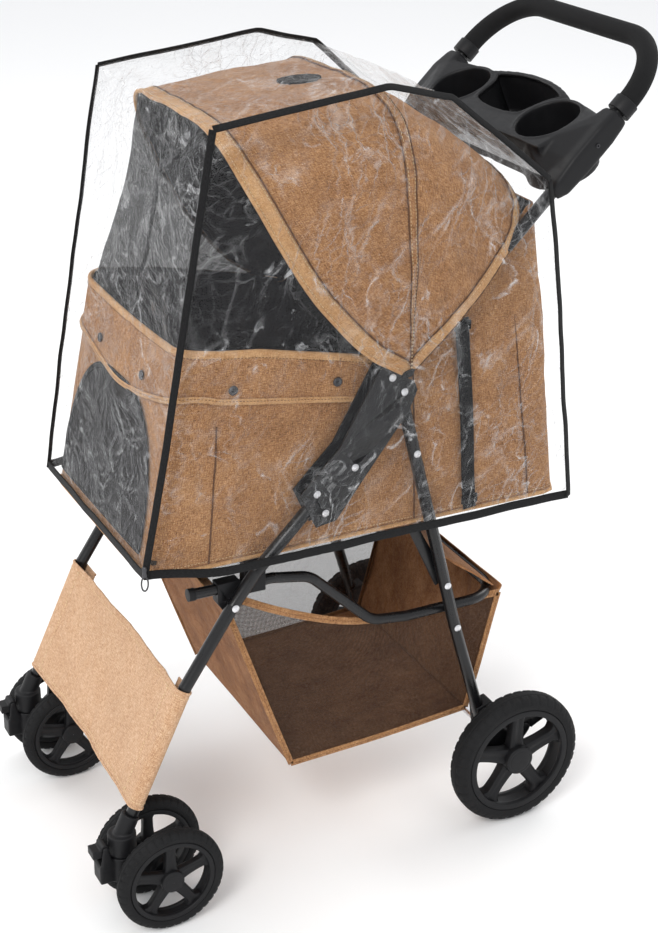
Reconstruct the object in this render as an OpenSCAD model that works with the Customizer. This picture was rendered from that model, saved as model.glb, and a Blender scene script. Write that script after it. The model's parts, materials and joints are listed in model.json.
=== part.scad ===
// Four-wheel folding pet stroller.
// Forward is -Y, the stroller's left is +X, up is +Z, and the floor is z = 0.

/* [Frame] */
// Distance from the middle of the stroller to the middle of a leg tube
leg_x = 173; // [165:1:180]
// Diameter of the leg and handle tubes
tube_d = 15; // [13:1:16]
// Diameter of the tube around the basket
basket_tube_d = 13; // [10:1:13]
// Thickness of a side plate
plate_t = 2; // [1.5:0.5:2]
// Diameter of a rivet head
rivet_d = 9; // [7:0.5:10]

/* [Handle] */
// Length of the handle from its lower end to the middle of the push bar
handle_len = 474; // [440:1:480]
// Angle of the handle above level
handle_angle = 44.75; // [42:0.25:46]
// Diameter of the foam grip
grip_d = 25; // [22:1:28]
// Bend radius of the push bar's corners
handle_bend = 80; // [60:1:90]

/* [Wheels] */
// Diameter of a rear wheel
rear_wheel_d = 180; // [170:1:182]
// Width of a rear tyre
rear_tyre_w = 32; // [26:1:34]
// Diameter of a front castor wheel
castor_wheel_d = 132; // [124:1:134]
// Width of a front tyre
castor_tyre_w = 22; // [18:1:24]
// Distance from the castor's middle to the middle of each wheel
castor_wheel_x = 36; // [36:1:38]

/* [Cabin] */
// Width of the cabin
cabin_w = 314; // [300:1:316]
// Thickness of the cabin's fabric walls
cabin_wall = 3.5; // [2.5:0.5:4]
// Width of the canopy where it hangs outside the handle tubes
canopy_w = 377; // [375:1:378]
// Thickness of the canopy's fabric
canopy_wall = 2.5; // [2:0.5:3]
// Thickness of the cushion
cushion_t = 25; // [15:1:35]

/* [Rain cover] */
// Width of the rain cover between its side walls
cover_w = 380; // [380:1:386]
// Thickness of the clear film
film_t = 1.5; // [1:0.5:2]

/* [Hidden] */
$fn = 48;

tube_r = tube_d / 2;
basket_r = basket_tube_d / 2;
rivet_r = rivet_d / 2;
half_cabin = cabin_w / 2;
half_canopy = canopy_w / 2;
half_cover = cover_w / 2;
fit = 0.05;         // radial clearance of a running fit
gap = 0.3;          // clearance between pieces that do not touch

// Places in the side view are [y, z] pairs.
handle_pivot = [3, 636];
leg_pivot = [19, 616];
handle_foot = [27, 642];
basket_pivot = [-192, 386];
swivel_y = -337;
castor_axle = [-292, castor_wheel_d / 2];
rear_axle_at = [185, rear_wheel_d / 2];
latch_pivot = [-26, 590];
brake_pivot = [214, 112];
lock_pivot = [-361, 110];
lock_tip_y = -376.1;
small_pin_r = 2;
lock_pin_r = 1.5;
pin_r = 4;
rear_axle_r = 4;
castor_axle_r = 3.5;
stem_r = 5;

front_leg_path = [[-35, 545], [-85, 500], [-163, 423], [-192, 386],
                  [-253, 294], [-318, 154], [-334, 122]];
rear_leg_path = [[20.4, 610], [36.8, 545], [105, 286], [149, 140]];
basket_side_path = [[-232, 402], [-134, 400], [-86, 391], [-2, 311], [46, 305], [62, 305]];
basket_back_y = 180;
plate_outline = [[-112, 512], [-92, 468], [-66, 472], [26, 592], [36, 616],
                 [22, 634], [6, 652], [-12, 650], [-62, 562]];
plate_rivets = [[-43, 534], [-91, 510], [-80, 484]];
plate_inner_x = leg_x - tube_r - 3;
plate_outer_x = leg_x + tube_r + 1;

// ---- shared shapes ----

// Extrudes a side-view outline of [y, z] points from x0 to x1.
module across(x0, x1) {
    translate([x0, 0, 0]) rotate([90, 0, 90]) linear_extrude(x1 - x0) children();
}

// A round bar along X through the side-view point p.
module bar_x(p, r, x0, x1) {
    translate([x0, p[0], p[1]]) rotate([0, 90, 0]) cylinder(r = r, h = x1 - x0);
}

// A round bar between two points.
module rod(a, b, r) {
    d = b - a;
    len = norm(d);
    translate(a) rotate([0, acos(d[2] / len), atan2(d[1], d[0])]) cylinder(r = r, h = len);
}

// A gently bent tube that follows side-view points at one x, with a slightly proud weld at each bend.
module bent(path, x, r) {
    for (i = [0 : len(path) - 2]) {
        rod([x, path[i][0], path[i][1]], [x, path[i + 1][0], path[i + 1][1]], r);
        if (i > 0) translate([x, path[i][0], path[i][1]]) sphere(r = r + 0.25);
    }
}

// Direction of the straight from a to b in the side view, in degrees.
function heading(a, b) = atan2(b[1] - a[1], b[0] - a[0]);
// Turn at point i of a path.
function turn(path, i) = heading(path[i], path[i + 1]) - heading(path[i - 1], path[i]);
// Length that the bend at point i takes from each straight that meets there.
function tangent(path, i, bend) = i == 0 || i == len(path) - 1 ? 0 : bend * tan(abs(turn(path, i)) / 2);

// A bent tube with true round bends; each straight reaches a little way into the bends it meets.
module curved(path, x, r, bend) {
    reach = 1;
    translate([x, 0, 0]) rotate([90, 0, 90]) for (i = [0 : len(path) - 2]) {
        h = heading(path[i], path[i + 1]);
        t0 = tangent(path, i, bend);
        t1 = tangent(path, i + 1, bend);
        x0 = i == 0 ? 0 : t0 - reach;
        x1 = norm(path[i + 1] - path[i]) - (i == len(path) - 2 ? 0 : t1 - reach);
        translate([path[i][0], path[i][1], 0]) rotate([0, 0, h]) {
            translate([x0, 0, 0]) rotate([0, 90, 0]) cylinder(r = r - 0.02, h = x1 - x0);
            if (i > 0) translate([t0, (turn(path, i) > 0 ? 1 : -1) * bend, 0])
                rotate([0, 0, turn(path, i) > 0 ? -90 - turn(path, i) : 90])
                    rotate_extrude(angle = abs(turn(path, i))) translate([bend, 0]) circle(r = r);
        }
    }
}

// Puts children on the left side (+1) or mirrors them to the right side (-1).
module on_side(side) {
    if (side > 0) children();
    else mirror([1, 0, 0]) children();
}

// A U-shaped bar in the XY plane: two legs up from y0, joined at y1. A bore makes it a hose.
module u_bar(half_w, y0, y1, bend, r, bore = 0) {
    for (s = [-1, 1]) {
        translate([s * half_w, y0, 0]) rotate([-90, 0, 0]) linear_extrude(y1 - bend - y0) ring(r, bore);
        translate([s * (half_w - bend), y1 - bend, 0]) rotate([0, 0, s > 0 ? 0 : 90])
            rotate_extrude(angle = 90) translate([bend, 0]) ring(r, bore);
    }
    translate([-(half_w - bend), y1, 0]) rotate([0, 90, 0])
        linear_extrude(2 * (half_w - bend)) ring(r, bore);
}

module ring(r, bore) {
    difference() {
        circle(r = r);
        if (bore > 0) circle(r = bore);
    }
}

// Places children, drawn in the XY plane, on the handle's sloping plane.
module on_handle() {
    translate([0, handle_foot[0], handle_foot[1]]) rotate([handle_angle, 0, 0]) children();
}

// ---- frame ----

module front_leg(side) {
    color([0.05, 0.05, 0.055]) on_side(side) difference() {
        bent(front_leg_path, leg_x, tube_r);
        for (p = plate_rivets) bar_x(p, 2.6, leg_x - 12, leg_x + 12);
        bar_x(basket_pivot, pin_r + fit, leg_x - 12, leg_x + 12);
    }
}

module side_plates(side) {
    color([0.06, 0.06, 0.065]) on_side(side) for (x = [plate_inner_x, plate_outer_x]) {
        difference() {
            across(x, x + plate_t) union() {
                polygon(plate_outline);
                translate(handle_pivot) circle(r = 16);
                translate(leg_pivot) circle(r = 16);
            }
            for (p = plate_rivets) bar_x(p, 2.5, x - 1, x + plate_t + 1);
            for (p = [handle_pivot, leg_pivot]) bar_x(p, pin_r, x - 1, x + plate_t + 1);
            if (x == plate_inner_x) bar_x(latch_pivot, small_pin_r, x - 1, x + plate_t + 1);
        }
    }
}

// A domed rivet head on the outer face at x.
module rivet_head(p, x) {
    translate([x, p[0], p[1]]) rotate([0, 90, 0]) intersection() {
        cylinder(r = rivet_r, h = 2);
        translate([0, 0, -rivet_r * 1.4]) sphere(r = rivet_r * 1.4 + 2);
    }
}

module frame_rivets() {
    color([0.75, 0.75, 0.76]) for (side = [1, -1]) on_side(side) for (p = plate_rivets) {
        bar_x(p, 2.5, plate_inner_x - 1.5, plate_outer_x + plate_t);
        rivet_head(p, plate_outer_x + plate_t);
    }
}

module pivot_pins() {
    outer = plate_outer_x + plate_t;
    color([0.75, 0.75, 0.76]) for (side = [1, -1]) on_side(side) {
        for (p = [handle_pivot, leg_pivot]) {
            bar_x(p, pin_r, plate_inner_x - 1.5, outer);
            rivet_head(p, outer);
        }
        bar_x(latch_pivot, small_pin_r, half_cabin + 2 * gap, plate_inner_x + plate_t);
        bar_x(basket_pivot, pin_r, leg_x - 26, leg_x + tube_r);
        rivet_head(basket_pivot, leg_x + tube_r);
    }
}

module base_frame() {
    half_w = half_cabin - 11;
    y0 = -272;
    y1 = 243;
    bend = 30;
    color([0.07, 0.07, 0.075]) translate([0, 0, 441]) {
        u_bar(half_w, (y0 + y1) / 2, y1, bend, 5);
        mirror([0, 1, 0]) u_bar(half_w, -(y0 + y1) / 2, -y0, bend, 5);
    }
}

module castor_socket(side) {
    color([0.06, 0.06, 0.065]) on_side(side) {
        difference() {
            union() {
                translate([leg_x, swivel_y, 96]) cylinder(r = 17, h = 26);
                rod([leg_x, swivel_y - 0.5, 116], [leg_x, -325, 143], 11);
            }
            rod([leg_x, -302, 186], [leg_x, -334.05, 121.9], tube_r + 0.02);
        }
        translate([leg_x, swivel_y, 58]) cylinder(r = stem_r, h = 40);
        translate([leg_x, swivel_y, 54]) cylinder(r = 8, h = 4);
    }
}

// Foot lever that stops the castor from swivelling.
module castor_lock(side) {
    color([0.08, 0.08, 0.085]) on_side(side) difference() {
        union() {
            bar_x(lock_pivot, 5, leg_x - 9, leg_x + 9);
            translate([leg_x - 9, lock_tip_y, 100]) cube([18, 13, 10]);
        }
        bar_x(lock_pivot, lock_pin_r + fit, leg_x - 20, leg_x + 20);
    }
}

// Lever between the cabin's side and the inner side plate.
module fold_latch(side) {
    color([0.08, 0.08, 0.085]) on_side(side) difference() {
        across(half_cabin + 4 * gap, plate_inner_x - gap) union() {
            translate(latch_pivot) circle(r = 7);
            polygon([[-37, 549], [-30, 548], [-21, 588], [-32, 590]]);
        }
        bar_x(latch_pivot, small_pin_r + fit, half_cabin, plate_inner_x);
    }
}

// ---- cabin ----

cabin_outline = [[-290, 432], [-236, 706], [-34, 667], [25, 640], [117, 722],
                 [196, 806], [205, 808], [255, 432]];
cabin_hollow = [[-290 + cabin_wall * 1.3, 432 + cabin_wall], [-236 + cabin_wall * 1.2, 706],
                [-236 + cabin_wall * 1.2, 760], [25, 760], [150, 860],
                [205 - cabin_wall, 860], [205 - cabin_wall, 808],
                [255 - cabin_wall, 432 + cabin_wall]];

module cabin_shell() {
    color([0.62, 0.43, 0.27]) difference() {
        across(-half_cabin, half_cabin) polygon(cabin_outline);
        across(-half_cabin + cabin_wall, half_cabin - cabin_wall) polygon(cabin_hollow);
    }
}

module rim_bar() {
    half_w = half_cabin - 12;
    color([0.1, 0.1, 0.1]) translate([0, -225, 695]) rotate([-11, 0, 0]) mirror([0, 1, 0])
        u_bar(half_w, -150, 0, 30, 3);
}

module floor_board() {
    color([0.2, 0.19, 0.18]) translate([-half_cabin + 7, -280, 446.5]) cube([cabin_w - 14, 528, 5]);
}

module cushion() {
    color([0.3, 0.28, 0.27]) translate([-half_cabin + 12, -268, 452])
        cube([cabin_w - 24, 506, cushion_t]);
}

module leg_panel() {
    color([0.86, 0.69, 0.53]) {
        difference() {
            for (s = [-1, 1]) rod([s * leg_x, -253, 294], [s * leg_x, -318, 154], tube_r + 3.5);
            for (s = [-1, 1]) rod([s * leg_x, -249.3, 302], [s * leg_x, -321.7, 146], tube_r + gap);
        }
        across(-leg_x + tube_r + 2, leg_x - tube_r - 2)
            polygon([[-259, 297], [-324, 157], [-321, 155.6], [-256, 295.6]]);
    }
}

// ---- handle ----

module handle_tube() {
    color([0.05, 0.05, 0.055]) {
        on_handle() u_bar(leg_x, 0, handle_len, handle_bend, tube_r);
        for (side = [1, -1]) on_side(side) difference() {
            union() {
                bar_x(handle_pivot, 12, leg_x - 7, leg_x + 7);
                across(leg_x - 7, leg_x + 7)
                    polygon([[-3, 646], [4, 624.5], [30, 632], [36, 642], [26, 656]]);
            }
            bar_x(handle_pivot, pin_r + fit, leg_x - 20, leg_x + 20);
        }
    }
}

module handle_grip() {
    color([0.09, 0.09, 0.09]) on_handle()
        u_bar(leg_x, handle_len - handle_bend - 1, handle_len, handle_bend, grip_d / 2, tube_r + 0.02);
}

module handle_collars() {
    color([0.07, 0.07, 0.075]) on_handle() for (s = [-1, 1]) difference() {
        translate([s * leg_x, handle_len - handle_bend - 18, 0]) rotate([-90, 0, 0])
            cylinder(r = grip_d / 2 + 2, h = 17);
        translate([s * leg_x, 370, 0]) rotate([-90, 0, 0]) cylinder(r = tube_r + 0.02, h = 40);
    }
}

tray_at = [248, 888];
tray_tilt = 23;
cup_x = 99;
cup_r = 39;

// Places children on the tray's top face, with Y towards the push bar.
module on_tray() {
    translate([0, tray_at[0], tray_at[1]]) rotate([tray_tilt, 0, 0]) children();
}

module cup_tray() {
    color([0.06, 0.06, 0.065]) difference() {
        union() {
            on_tray() intersection() {
                translate([-150, -52, -62]) cube([300, 108, 62]);
                translate([0, -150, -70]) cylinder(r = 212, h = 80);
            }
            for (s = [-1, 1]) on_tray() translate([s * cup_x, 0, -72]) cylinder(r = cup_r + 4, h = 72);
            on_handle() for (s = [-1, 1])
                translate([s * leg_x - 16, 256, -13]) cube([32, 118, 30]);
            for (s = [-1, 1]) on_tray() translate([s * 145 - 25, -50, -34]) cube([50, 88, 30]);
        }
        for (s = [-1, 1]) on_tray() translate([s * cup_x, 0, -68]) cylinder(r = cup_r, h = 80);
        on_tray() translate([-52, 0, -54]) cube([104, 44, 80]);
        on_tray() translate([0, -118, -100]) cylinder(r = 78, h = 140);
        on_handle() for (s = [-1, 1]) translate([s * leg_x, 200, 0])
            rotate([-90, 0, 0]) cylinder(r = tube_r + 0.02, h = 200);
        for (s = [-1, 1]) bar_x([258, 876], 2.5, s > 0 ? leg_x : -leg_x - 40, s > 0 ? leg_x + 40 : -leg_x);
    }
}

module tray_screws() {
    color([0.12, 0.12, 0.125]) for (side = [1, -1]) on_side(side) difference() {
        bar_x([258, 876], 2.5, leg_x + tube_r + 1, leg_x + 17);
        bar_x([258, 876], 1.2, leg_x + 15, leg_x + 20);
    }
}

// ---- canopy ----

hoop_x = half_cabin - cabin_wall - 5;
canopy_front_outline = [[24.5, 646], [-30, 672], [-105, 757], [-160, 846], [-202, 926],
                        [-190, 932], [-90, 944], [24.5, 946]];
canopy_rear_outline = [[190, 808], [190, 832], [136, 883], [80, 929], [25, 946], [25, 645]];

// Cross-section of the hood: upright sides that lean in to a rounded top.
module hood_section(half_w) {
    side = [[half_w, 600], [half_w, 845], [half_w - 22, 915], [half_w - 40, 935], [half_w - 68, 946],
            [0, 948]];
    polygon(concat(side, [for (i = [len(side) - 1 : -1 : 0]) [-side[i][0], side[i][1]]]));
}

module hood_prism(inset) {
    translate([0, 250, -inset]) rotate([90, 0, 0]) linear_extrude(500) hood_section(half_canopy - inset);
}

module canopy_front() {
    w = canopy_wall;
    color([0.72, 0.53, 0.33]) difference() {
        intersection() {
            across(-half_canopy, half_canopy) polygon(canopy_front_outline);
            hood_prism(0);
        }
        intersection() {
            across(-half_canopy + w, half_canopy - w)
                polygon([[30, 640], [-60, 640], [-240, 880], [-202, 926 - 2 * w],
                         [-190, 932 - w], [-90, 944 - w], [30, 946 - w]]);
            hood_prism(w);
        }
    }
}

module canopy_rear() {
    w = canopy_wall;
    color([0.72, 0.53, 0.33]) difference() {
        intersection() {
            across(-half_canopy, half_canopy) polygon(canopy_rear_outline);
            hood_prism(0);
        }
        intersection() {
            across(-half_canopy + w, half_canopy - w)
                polygon([[190 - w, 780], [190 - w, 832 - w], [136 - w, 883 - w], [80 - w, 929 - w],
                         [25, 946 - w], [20, 946 - w], [20, 640]]);
            hood_prism(w);
        }
        for (s = [-1, 1]) on_handle() translate([s * leg_x, 100, 0])
            rotate([-90, 0, 0]) cylinder(r = tube_r + 1, h = 300);
    }
}

// Place of the pin that joins the two hood battens at each side.
hoop_pivot = [22, 655];
mid_hoop_x = hoop_x - 6;

// A hood batten: legs from the pivot to the top corner, joined across the top.
module hoop(foot, top, half_w, bend) {
    d = top - foot;
    translate([0, foot[0], foot[1]]) rotate([atan2(d[1], d[0]), 0, 0])
        u_bar(half_w, 0, norm(d), bend, 2);
}

module canopy_front_hoop() {
    color([0.15, 0.13, 0.12]) difference() {
        union() {
            hoop(hoop_pivot, [-190, 916], hoop_x, 50);
            for (s = [-1, 1]) bar_x(hoop_pivot, 5, s * hoop_x - 2, s * hoop_x + 2);
        }
        bar_x(hoop_pivot, small_pin_r + fit, -half_cabin, half_cabin);
    }
}

module canopy_mid_hoop() {
    color([0.15, 0.13, 0.12]) {
        hoop(hoop_pivot, [30, 937], mid_hoop_x, 50);
        for (side = [1, -1]) on_side(side) {
            bar_x(hoop_pivot, 4, mid_hoop_x - 2.6, mid_hoop_x + 2.6);
            bar_x(hoop_pivot, small_pin_r, mid_hoop_x + 2.3, hoop_x + 2.5);
        }
    }
}

// ---- rear legs ----

module rear_leg(side) {
    color([0.05, 0.05, 0.055]) on_side(side) difference() {
        union() {
            bent(rear_leg_path, leg_x, tube_r);
            bar_x(leg_pivot, 12, leg_x - 7, leg_x + 7);
        }
        bar_x(leg_pivot, pin_r + fit, leg_x - 20, leg_x + 20);
        for (p = rear_rivets) bar_x(p, 2.5, leg_x - 20, leg_x + 20);
    }
}

rear_rivets = [[39.9, 533.4], [88.5, 348.5], [105, 286]];

module rear_leg_rivets() {
    color([0.75, 0.75, 0.76]) for (side = [1, -1]) on_side(side) for (p = rear_rivets) {
        bar_x(p, 2.5, leg_x - tube_r, leg_x + tube_r);
        rivet_head(p, leg_x + tube_r);
    }
}

// Straps from the rear legs up to the cabin's floor.
module cabin_struts() {
    color([0.06, 0.06, 0.065]) for (side = [1, -1]) on_side(side)
        across(leg_x - tube_r - 3, leg_x - tube_r)
            polygon([[80, 344], [96, 350], [54, 428], [42, 424]]);
}

module rear_axle() {
    color([0.7, 0.7, 0.72]) bar_x(rear_axle_at, rear_axle_r, -216, 216);
}

module brake_housing(side) {
    color([0.06, 0.06, 0.065]) on_side(side) {
        difference() {
            union() {
                across(leg_x - 12, leg_x + 10) polygon([[138, 162], [142, 132], [160, 86], [176, 74],
                                                       [202, 80], [204, 100], [172, 128], [160, 168]]);
                bar_x(rear_axle_at, 16, leg_x - 12, leg_x + 10);
                for (x = [leg_x - 12, leg_x + 6]) across(x, x + 4) union() {
                    translate(brake_pivot) circle(r = 6);
                    polygon([[176, 108], [200, 84], [219, 108], [211, 117]]);
                }
            }
            rod([leg_x, 134, 189.77], [leg_x, 149.03, 139.9], tube_r + 0.02);
            bar_x(rear_axle_at, rear_axle_r, leg_x - 20, leg_x + 20);
        }
        bar_x(brake_pivot, small_pin_r, leg_x - 11, leg_x + 9);
    }
}

// Foot pedal: a boss between the housing's ears and a wide pad behind them.
module brake_pedal(side) {
    color([0.07, 0.07, 0.075]) on_side(side) difference() {
        union() {
            across(leg_x - 7.5, leg_x + 5.5) union() {
                translate(brake_pivot) circle(r = 7);
                polygon([[217, 106], [248, 121], [246, 128], [212, 118.5]]);
            }
            across(leg_x - 30, leg_x + 8)
                polygon([[223, 109], [248, 121], [246, 128], [223, 121.6]]);
        }
        bar_x(brake_pivot, small_pin_r + fit, leg_x - 20, leg_x + 20);
    }
}

// ---- basket ----

basket_x = half_cabin - 2;
clip_half = 8.2;

module basket_tube() {
    color([0.05, 0.05, 0.055]) {
        for (s = [-1, 1]) curved(basket_side_path, s * basket_x, basket_r, 40);
        translate([0, 0, 305]) u_bar(basket_x, 60, basket_back_y, 45, basket_r);
    }
}

module basket_caps() {
    color([0.04, 0.04, 0.04]) for (s = [-1, 1])
        rod([s * basket_x, -240, 402.2], [s * basket_x, -232, 402], basket_r + 1);
}

// Pivot lugs on the front legs, and saddles that carry the front of the cabin.
module basket_clips() {
    color([0.05, 0.05, 0.05]) for (s = [-1, 1]) difference() {
        union() {
            across(s * basket_x - clip_half, s * basket_x + clip_half) {
                polygon([[-206, 386], [-198, 374], [-188, 373], [-180, 378], [-178, 411], [-206, 411]]);
                polygon([[-172, 391], [-146, 391], [-146, 431], [-172, 431]]);
            }
        }
        rod([s * basket_x, -240, 402.163], [s * basket_x, -136, 400.04], basket_r + 0.02);
        bar_x(basket_pivot, pin_r + fit, s * basket_x - 20, s * basket_x + 20);
    }
}

basket_outline = [[-196, 384], [-105, 130], [143, 142], [170, 297], [-4, 300], [-90, 318]];

module basket_bag() {
    half_w = basket_x - basket_r - 2;
    wall = 3;
    color([0.55, 0.37, 0.22]) difference() {
        across(-half_w, half_w) polygon(basket_outline);
        across(-half_w + wall, half_w - wall)
            polygon([[-196 + wall, 400], [-196 + wall, 384], [-105 + wall, 130 + wall],
                     [143 - wall, 142 + wall], [170 - wall, 297], [170 - wall, 400]]);
    }
}

// ---- castors ----

module castor_housing(side) {
    color([0.06, 0.06, 0.065]) on_side(side) union() {
        castor_fork();
        bar_x(lock_pivot, lock_pin_r, leg_x - 12, leg_x + 12);
    }
}

module castor_fork() {
    difference() {
        union() {
            for (x = [leg_x - 12.4, leg_x + 9.4]) across(x, x + 3) union() {
                translate(lock_pivot) circle(r = 4);
                polygon([[-368, 84], [-350, 84], [-357, 110], [-365, 110]]);
            }
            translate([leg_x, swivel_y, 62]) cylinder(r = 18, h = 33);
            translate([leg_x - 12, swivel_y - 32, 64]) cube([24, 40, 24]);
            translate([leg_x - 14, swivel_y, 56]) cube([28, 46, 28]);
            bar_x(castor_axle, 15, leg_x - 22, leg_x + 22);
        }
        translate([leg_x, swivel_y, 40]) cylinder(r = stem_r + fit, h = 80);
        translate([leg_x, swivel_y, 40]) cylinder(r = 8.5, h = 22.5);
        bar_x(castor_axle, castor_axle_r, leg_x - 40, leg_x + 40);
    }
}

module castor_axle_rod(side) {
    color([0.7, 0.7, 0.72]) on_side(side) bar_x(castor_axle, castor_axle_r, leg_x - 47, leg_x + 47);
}

// Tyre with a crowned tread, on its side along X, centred on x = 0.
module tyre(r, w, bead_r) {
    crown = w * 0.28;
    rotate([0, 90, 0]) rotate_extrude($fn = 96) union() {
        translate([bead_r, -w / 2 + crown]) square([r - bead_r, w - 2 * crown]);
        translate([bead_r, -w / 2]) square([r - bead_r - crown, w]);
        for (s = [-1, 1]) translate([r - crown, s * (w / 2 - crown)]) circle(r = crown);
    }
}

// Five-spoke wheel centre with a rim ring and a hub barrel.
module spoked_hub(rim_r, w, barrel_r, bore_r) {
    spokes = 5;
    ring = rim_r * 0.11;
    rotate([0, 90, 0]) difference() {
        union() {
            difference() {
                translate([0, 0, -w / 2 + 1]) cylinder(r = rim_r - 0.02, h = w - 2);
                translate([0, 0, -w]) cylinder(r = rim_r - ring, h = 2 * w);
            }
            translate([0, 0, -w / 2 + 1]) cylinder(r = barrel_r, h = w - 2);
            for (i = [0 : spokes - 1]) rotate([0, 0, i * 360 / spokes])
                translate([0, -barrel_r * 0.48, -w * 0.22])
                    cube([rim_r - ring / 2, barrel_r * 0.96, w * 0.44]);
        }
        translate([0, 0, -w]) cylinder(r = bore_r + fit, h = 2 * w);
    }
}

castor_rim_r = castor_wheel_d / 2 * 0.8;
rear_rim_r = rear_wheel_d / 2 * 0.8;
rear_wheel_x = leg_x + 28;

module castor_wheel_at(side, place) {
    on_side(side) translate([leg_x + place * castor_wheel_x, castor_axle[0], castor_axle[1]]) children();
}

module castor_tyre(side, place) {
    color([0.07, 0.07, 0.07]) castor_wheel_at(side, place)
        tyre(castor_wheel_d / 2, castor_tyre_w, castor_rim_r);
}

module castor_hub(side, place) {
    color([0.05, 0.05, 0.055]) castor_wheel_at(side, place)
        spoked_hub(castor_rim_r, castor_tyre_w, 11, castor_axle_r);
}

module rear_tyre(side) {
    color([0.07, 0.07, 0.07]) on_side(side) translate([rear_wheel_x, rear_axle_at[0], rear_axle_at[1]])
        tyre(rear_wheel_d / 2, rear_tyre_w, rear_rim_r);
}

module rear_hub(side) {
    color([0.05, 0.05, 0.055]) on_side(side) translate([rear_wheel_x, rear_axle_at[0], rear_axle_at[1]])
        spoked_hub(rear_rim_r, rear_tyre_w, 15, rear_axle_r);
}

// ---- rain cover ----

cover_outline = [[248, 440], [196, 846], [80, 950], [2, 968], [-216, 944], [-294, 440]];
cover_hollow = [[300, 400], [300, 846 - film_t], [192, 846 - film_t], [80, 950 - 1.4 * film_t],
                [2, 968 - film_t], [-216 + film_t, 944 - film_t], [-294 + film_t, 440],
                [-296, 400]];

// Plan of the cover: the front is narrower than the middle.
module cover_plan(half_w, front_y) {
    linear_extrude(1100) polygon([[-half_w + 20, front_y], [half_w - 20, front_y], [half_w, -195],
                                  [half_w, 400], [-half_w, 400], [-half_w, -195]]);
}

module rain_cover() {
    color([0.85, 0.88, 0.9, 0.25]) difference() {
        intersection() {
            across(-half_cover - film_t, half_cover + film_t) polygon(cover_outline);
            cover_plan(half_cover + film_t, -300);
        }
        intersection() {
            across(-half_cover, half_cover) polygon(cover_hollow);
            cover_plan(half_cover, -301);
        }
    }
}

module cover_binding() {
    x0 = half_cover + film_t;
    color([0.04, 0.04, 0.04]) for (s = [-1, 1])
        across(s > 0 ? x0 : -x0 - 1.5, s > 0 ? x0 + 1.5 : -x0)
            polygon([[-190, 440], [-190, 450], [238, 450], [247, 440]]);
}

front_leg(1);  // front_leg_left
front_leg(-1);  // front_leg_right
side_plates(1);  // side_plates_left
side_plates(-1);  // side_plates_right
frame_rivets();
pivot_pins();
base_frame();
floor_board();
cushion();
cabin_shell();
rim_bar();
leg_panel();
castor_socket(1);  // castor_socket_left
castor_socket(-1);  // castor_socket_right
castor_lock(1);  // castor_lock_left
castor_lock(-1);  // castor_lock_right
handle_tube();
handle_grip();
handle_collars();
cup_tray();
tray_screws();
canopy_rear();
canopy_mid_hoop();
canopy_front();
canopy_front_hoop();
rear_leg(1);  // rear_leg_left
rear_leg(-1);  // rear_leg_right
rear_leg_rivets();
cabin_struts();
rear_axle();
brake_housing(1);  // brake_housing_left
brake_housing(-1);  // brake_housing_right
brake_pedal(1);  // brake_pedal_left
brake_pedal(-1);  // brake_pedal_right
basket_tube();
basket_caps();
basket_clips();
basket_bag();
castor_housing(1);  // castor_housing_left
castor_housing(-1);  // castor_housing_right
castor_axle_rod(1);  // castor_axle_left
castor_axle_rod(-1);  // castor_axle_right
castor_tyre(1, 1);  // castor_tyre_left_outer
castor_tyre(1, -1);  // castor_tyre_left_inner
castor_tyre(-1, 1);  // castor_tyre_right_outer
castor_tyre(-1, -1);  // castor_tyre_right_inner
castor_hub(1, 1);  // castor_hub_left_outer
castor_hub(1, -1);  // castor_hub_left_inner
castor_hub(-1, 1);  // castor_hub_right_outer
castor_hub(-1, -1);  // castor_hub_right_inner
rear_tyre(1);  // rear_tyre_left
rear_tyre(-1);  // rear_tyre_right
rear_hub(1);  // rear_hub_left
rear_hub(-1);  // rear_hub_right
rain_cover();
cover_binding();
fold_latch(1);  // fold_latch_left
fold_latch(-1);  // fold_latch_right
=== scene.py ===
"""Looks of the folding pet stroller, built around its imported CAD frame."""

import json
import math

import bmesh
import bpy
import numpy as np
from mathutils import Matrix, Vector, noise

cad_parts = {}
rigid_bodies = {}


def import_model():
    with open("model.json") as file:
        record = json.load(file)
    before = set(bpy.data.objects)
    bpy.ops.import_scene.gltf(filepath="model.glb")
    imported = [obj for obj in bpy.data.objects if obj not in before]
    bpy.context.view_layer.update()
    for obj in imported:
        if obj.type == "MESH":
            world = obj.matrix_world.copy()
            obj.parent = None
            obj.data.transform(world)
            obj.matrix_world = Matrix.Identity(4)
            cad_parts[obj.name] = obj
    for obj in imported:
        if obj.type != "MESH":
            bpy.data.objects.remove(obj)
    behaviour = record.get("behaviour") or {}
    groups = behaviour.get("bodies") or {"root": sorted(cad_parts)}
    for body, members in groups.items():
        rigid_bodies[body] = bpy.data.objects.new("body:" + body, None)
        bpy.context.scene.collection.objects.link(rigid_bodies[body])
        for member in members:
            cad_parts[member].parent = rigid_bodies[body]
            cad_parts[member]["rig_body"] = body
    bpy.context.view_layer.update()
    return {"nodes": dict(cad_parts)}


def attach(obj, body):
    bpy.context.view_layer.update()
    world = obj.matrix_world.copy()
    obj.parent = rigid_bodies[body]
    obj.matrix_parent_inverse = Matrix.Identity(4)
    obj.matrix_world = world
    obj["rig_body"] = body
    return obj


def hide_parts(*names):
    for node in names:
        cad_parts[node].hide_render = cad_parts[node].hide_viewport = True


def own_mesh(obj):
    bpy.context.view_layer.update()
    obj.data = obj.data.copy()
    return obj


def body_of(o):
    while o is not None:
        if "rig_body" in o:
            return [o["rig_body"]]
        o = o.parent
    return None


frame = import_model()
nodes = frame["nodes"]
scene = bpy.context.scene
MM = 0.001


# ---- node helpers -------------------------------------------------------------------------------
def srgb(r, g, b):
    """Linear colour of an 8-bit screen colour."""
    def one(c):
        c /= 255
        return c / 12.92 if c <= 0.04045 else ((c + 0.055) / 1.055) ** 2.4
    return (one(r), one(g), one(b), 1.0)


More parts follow.
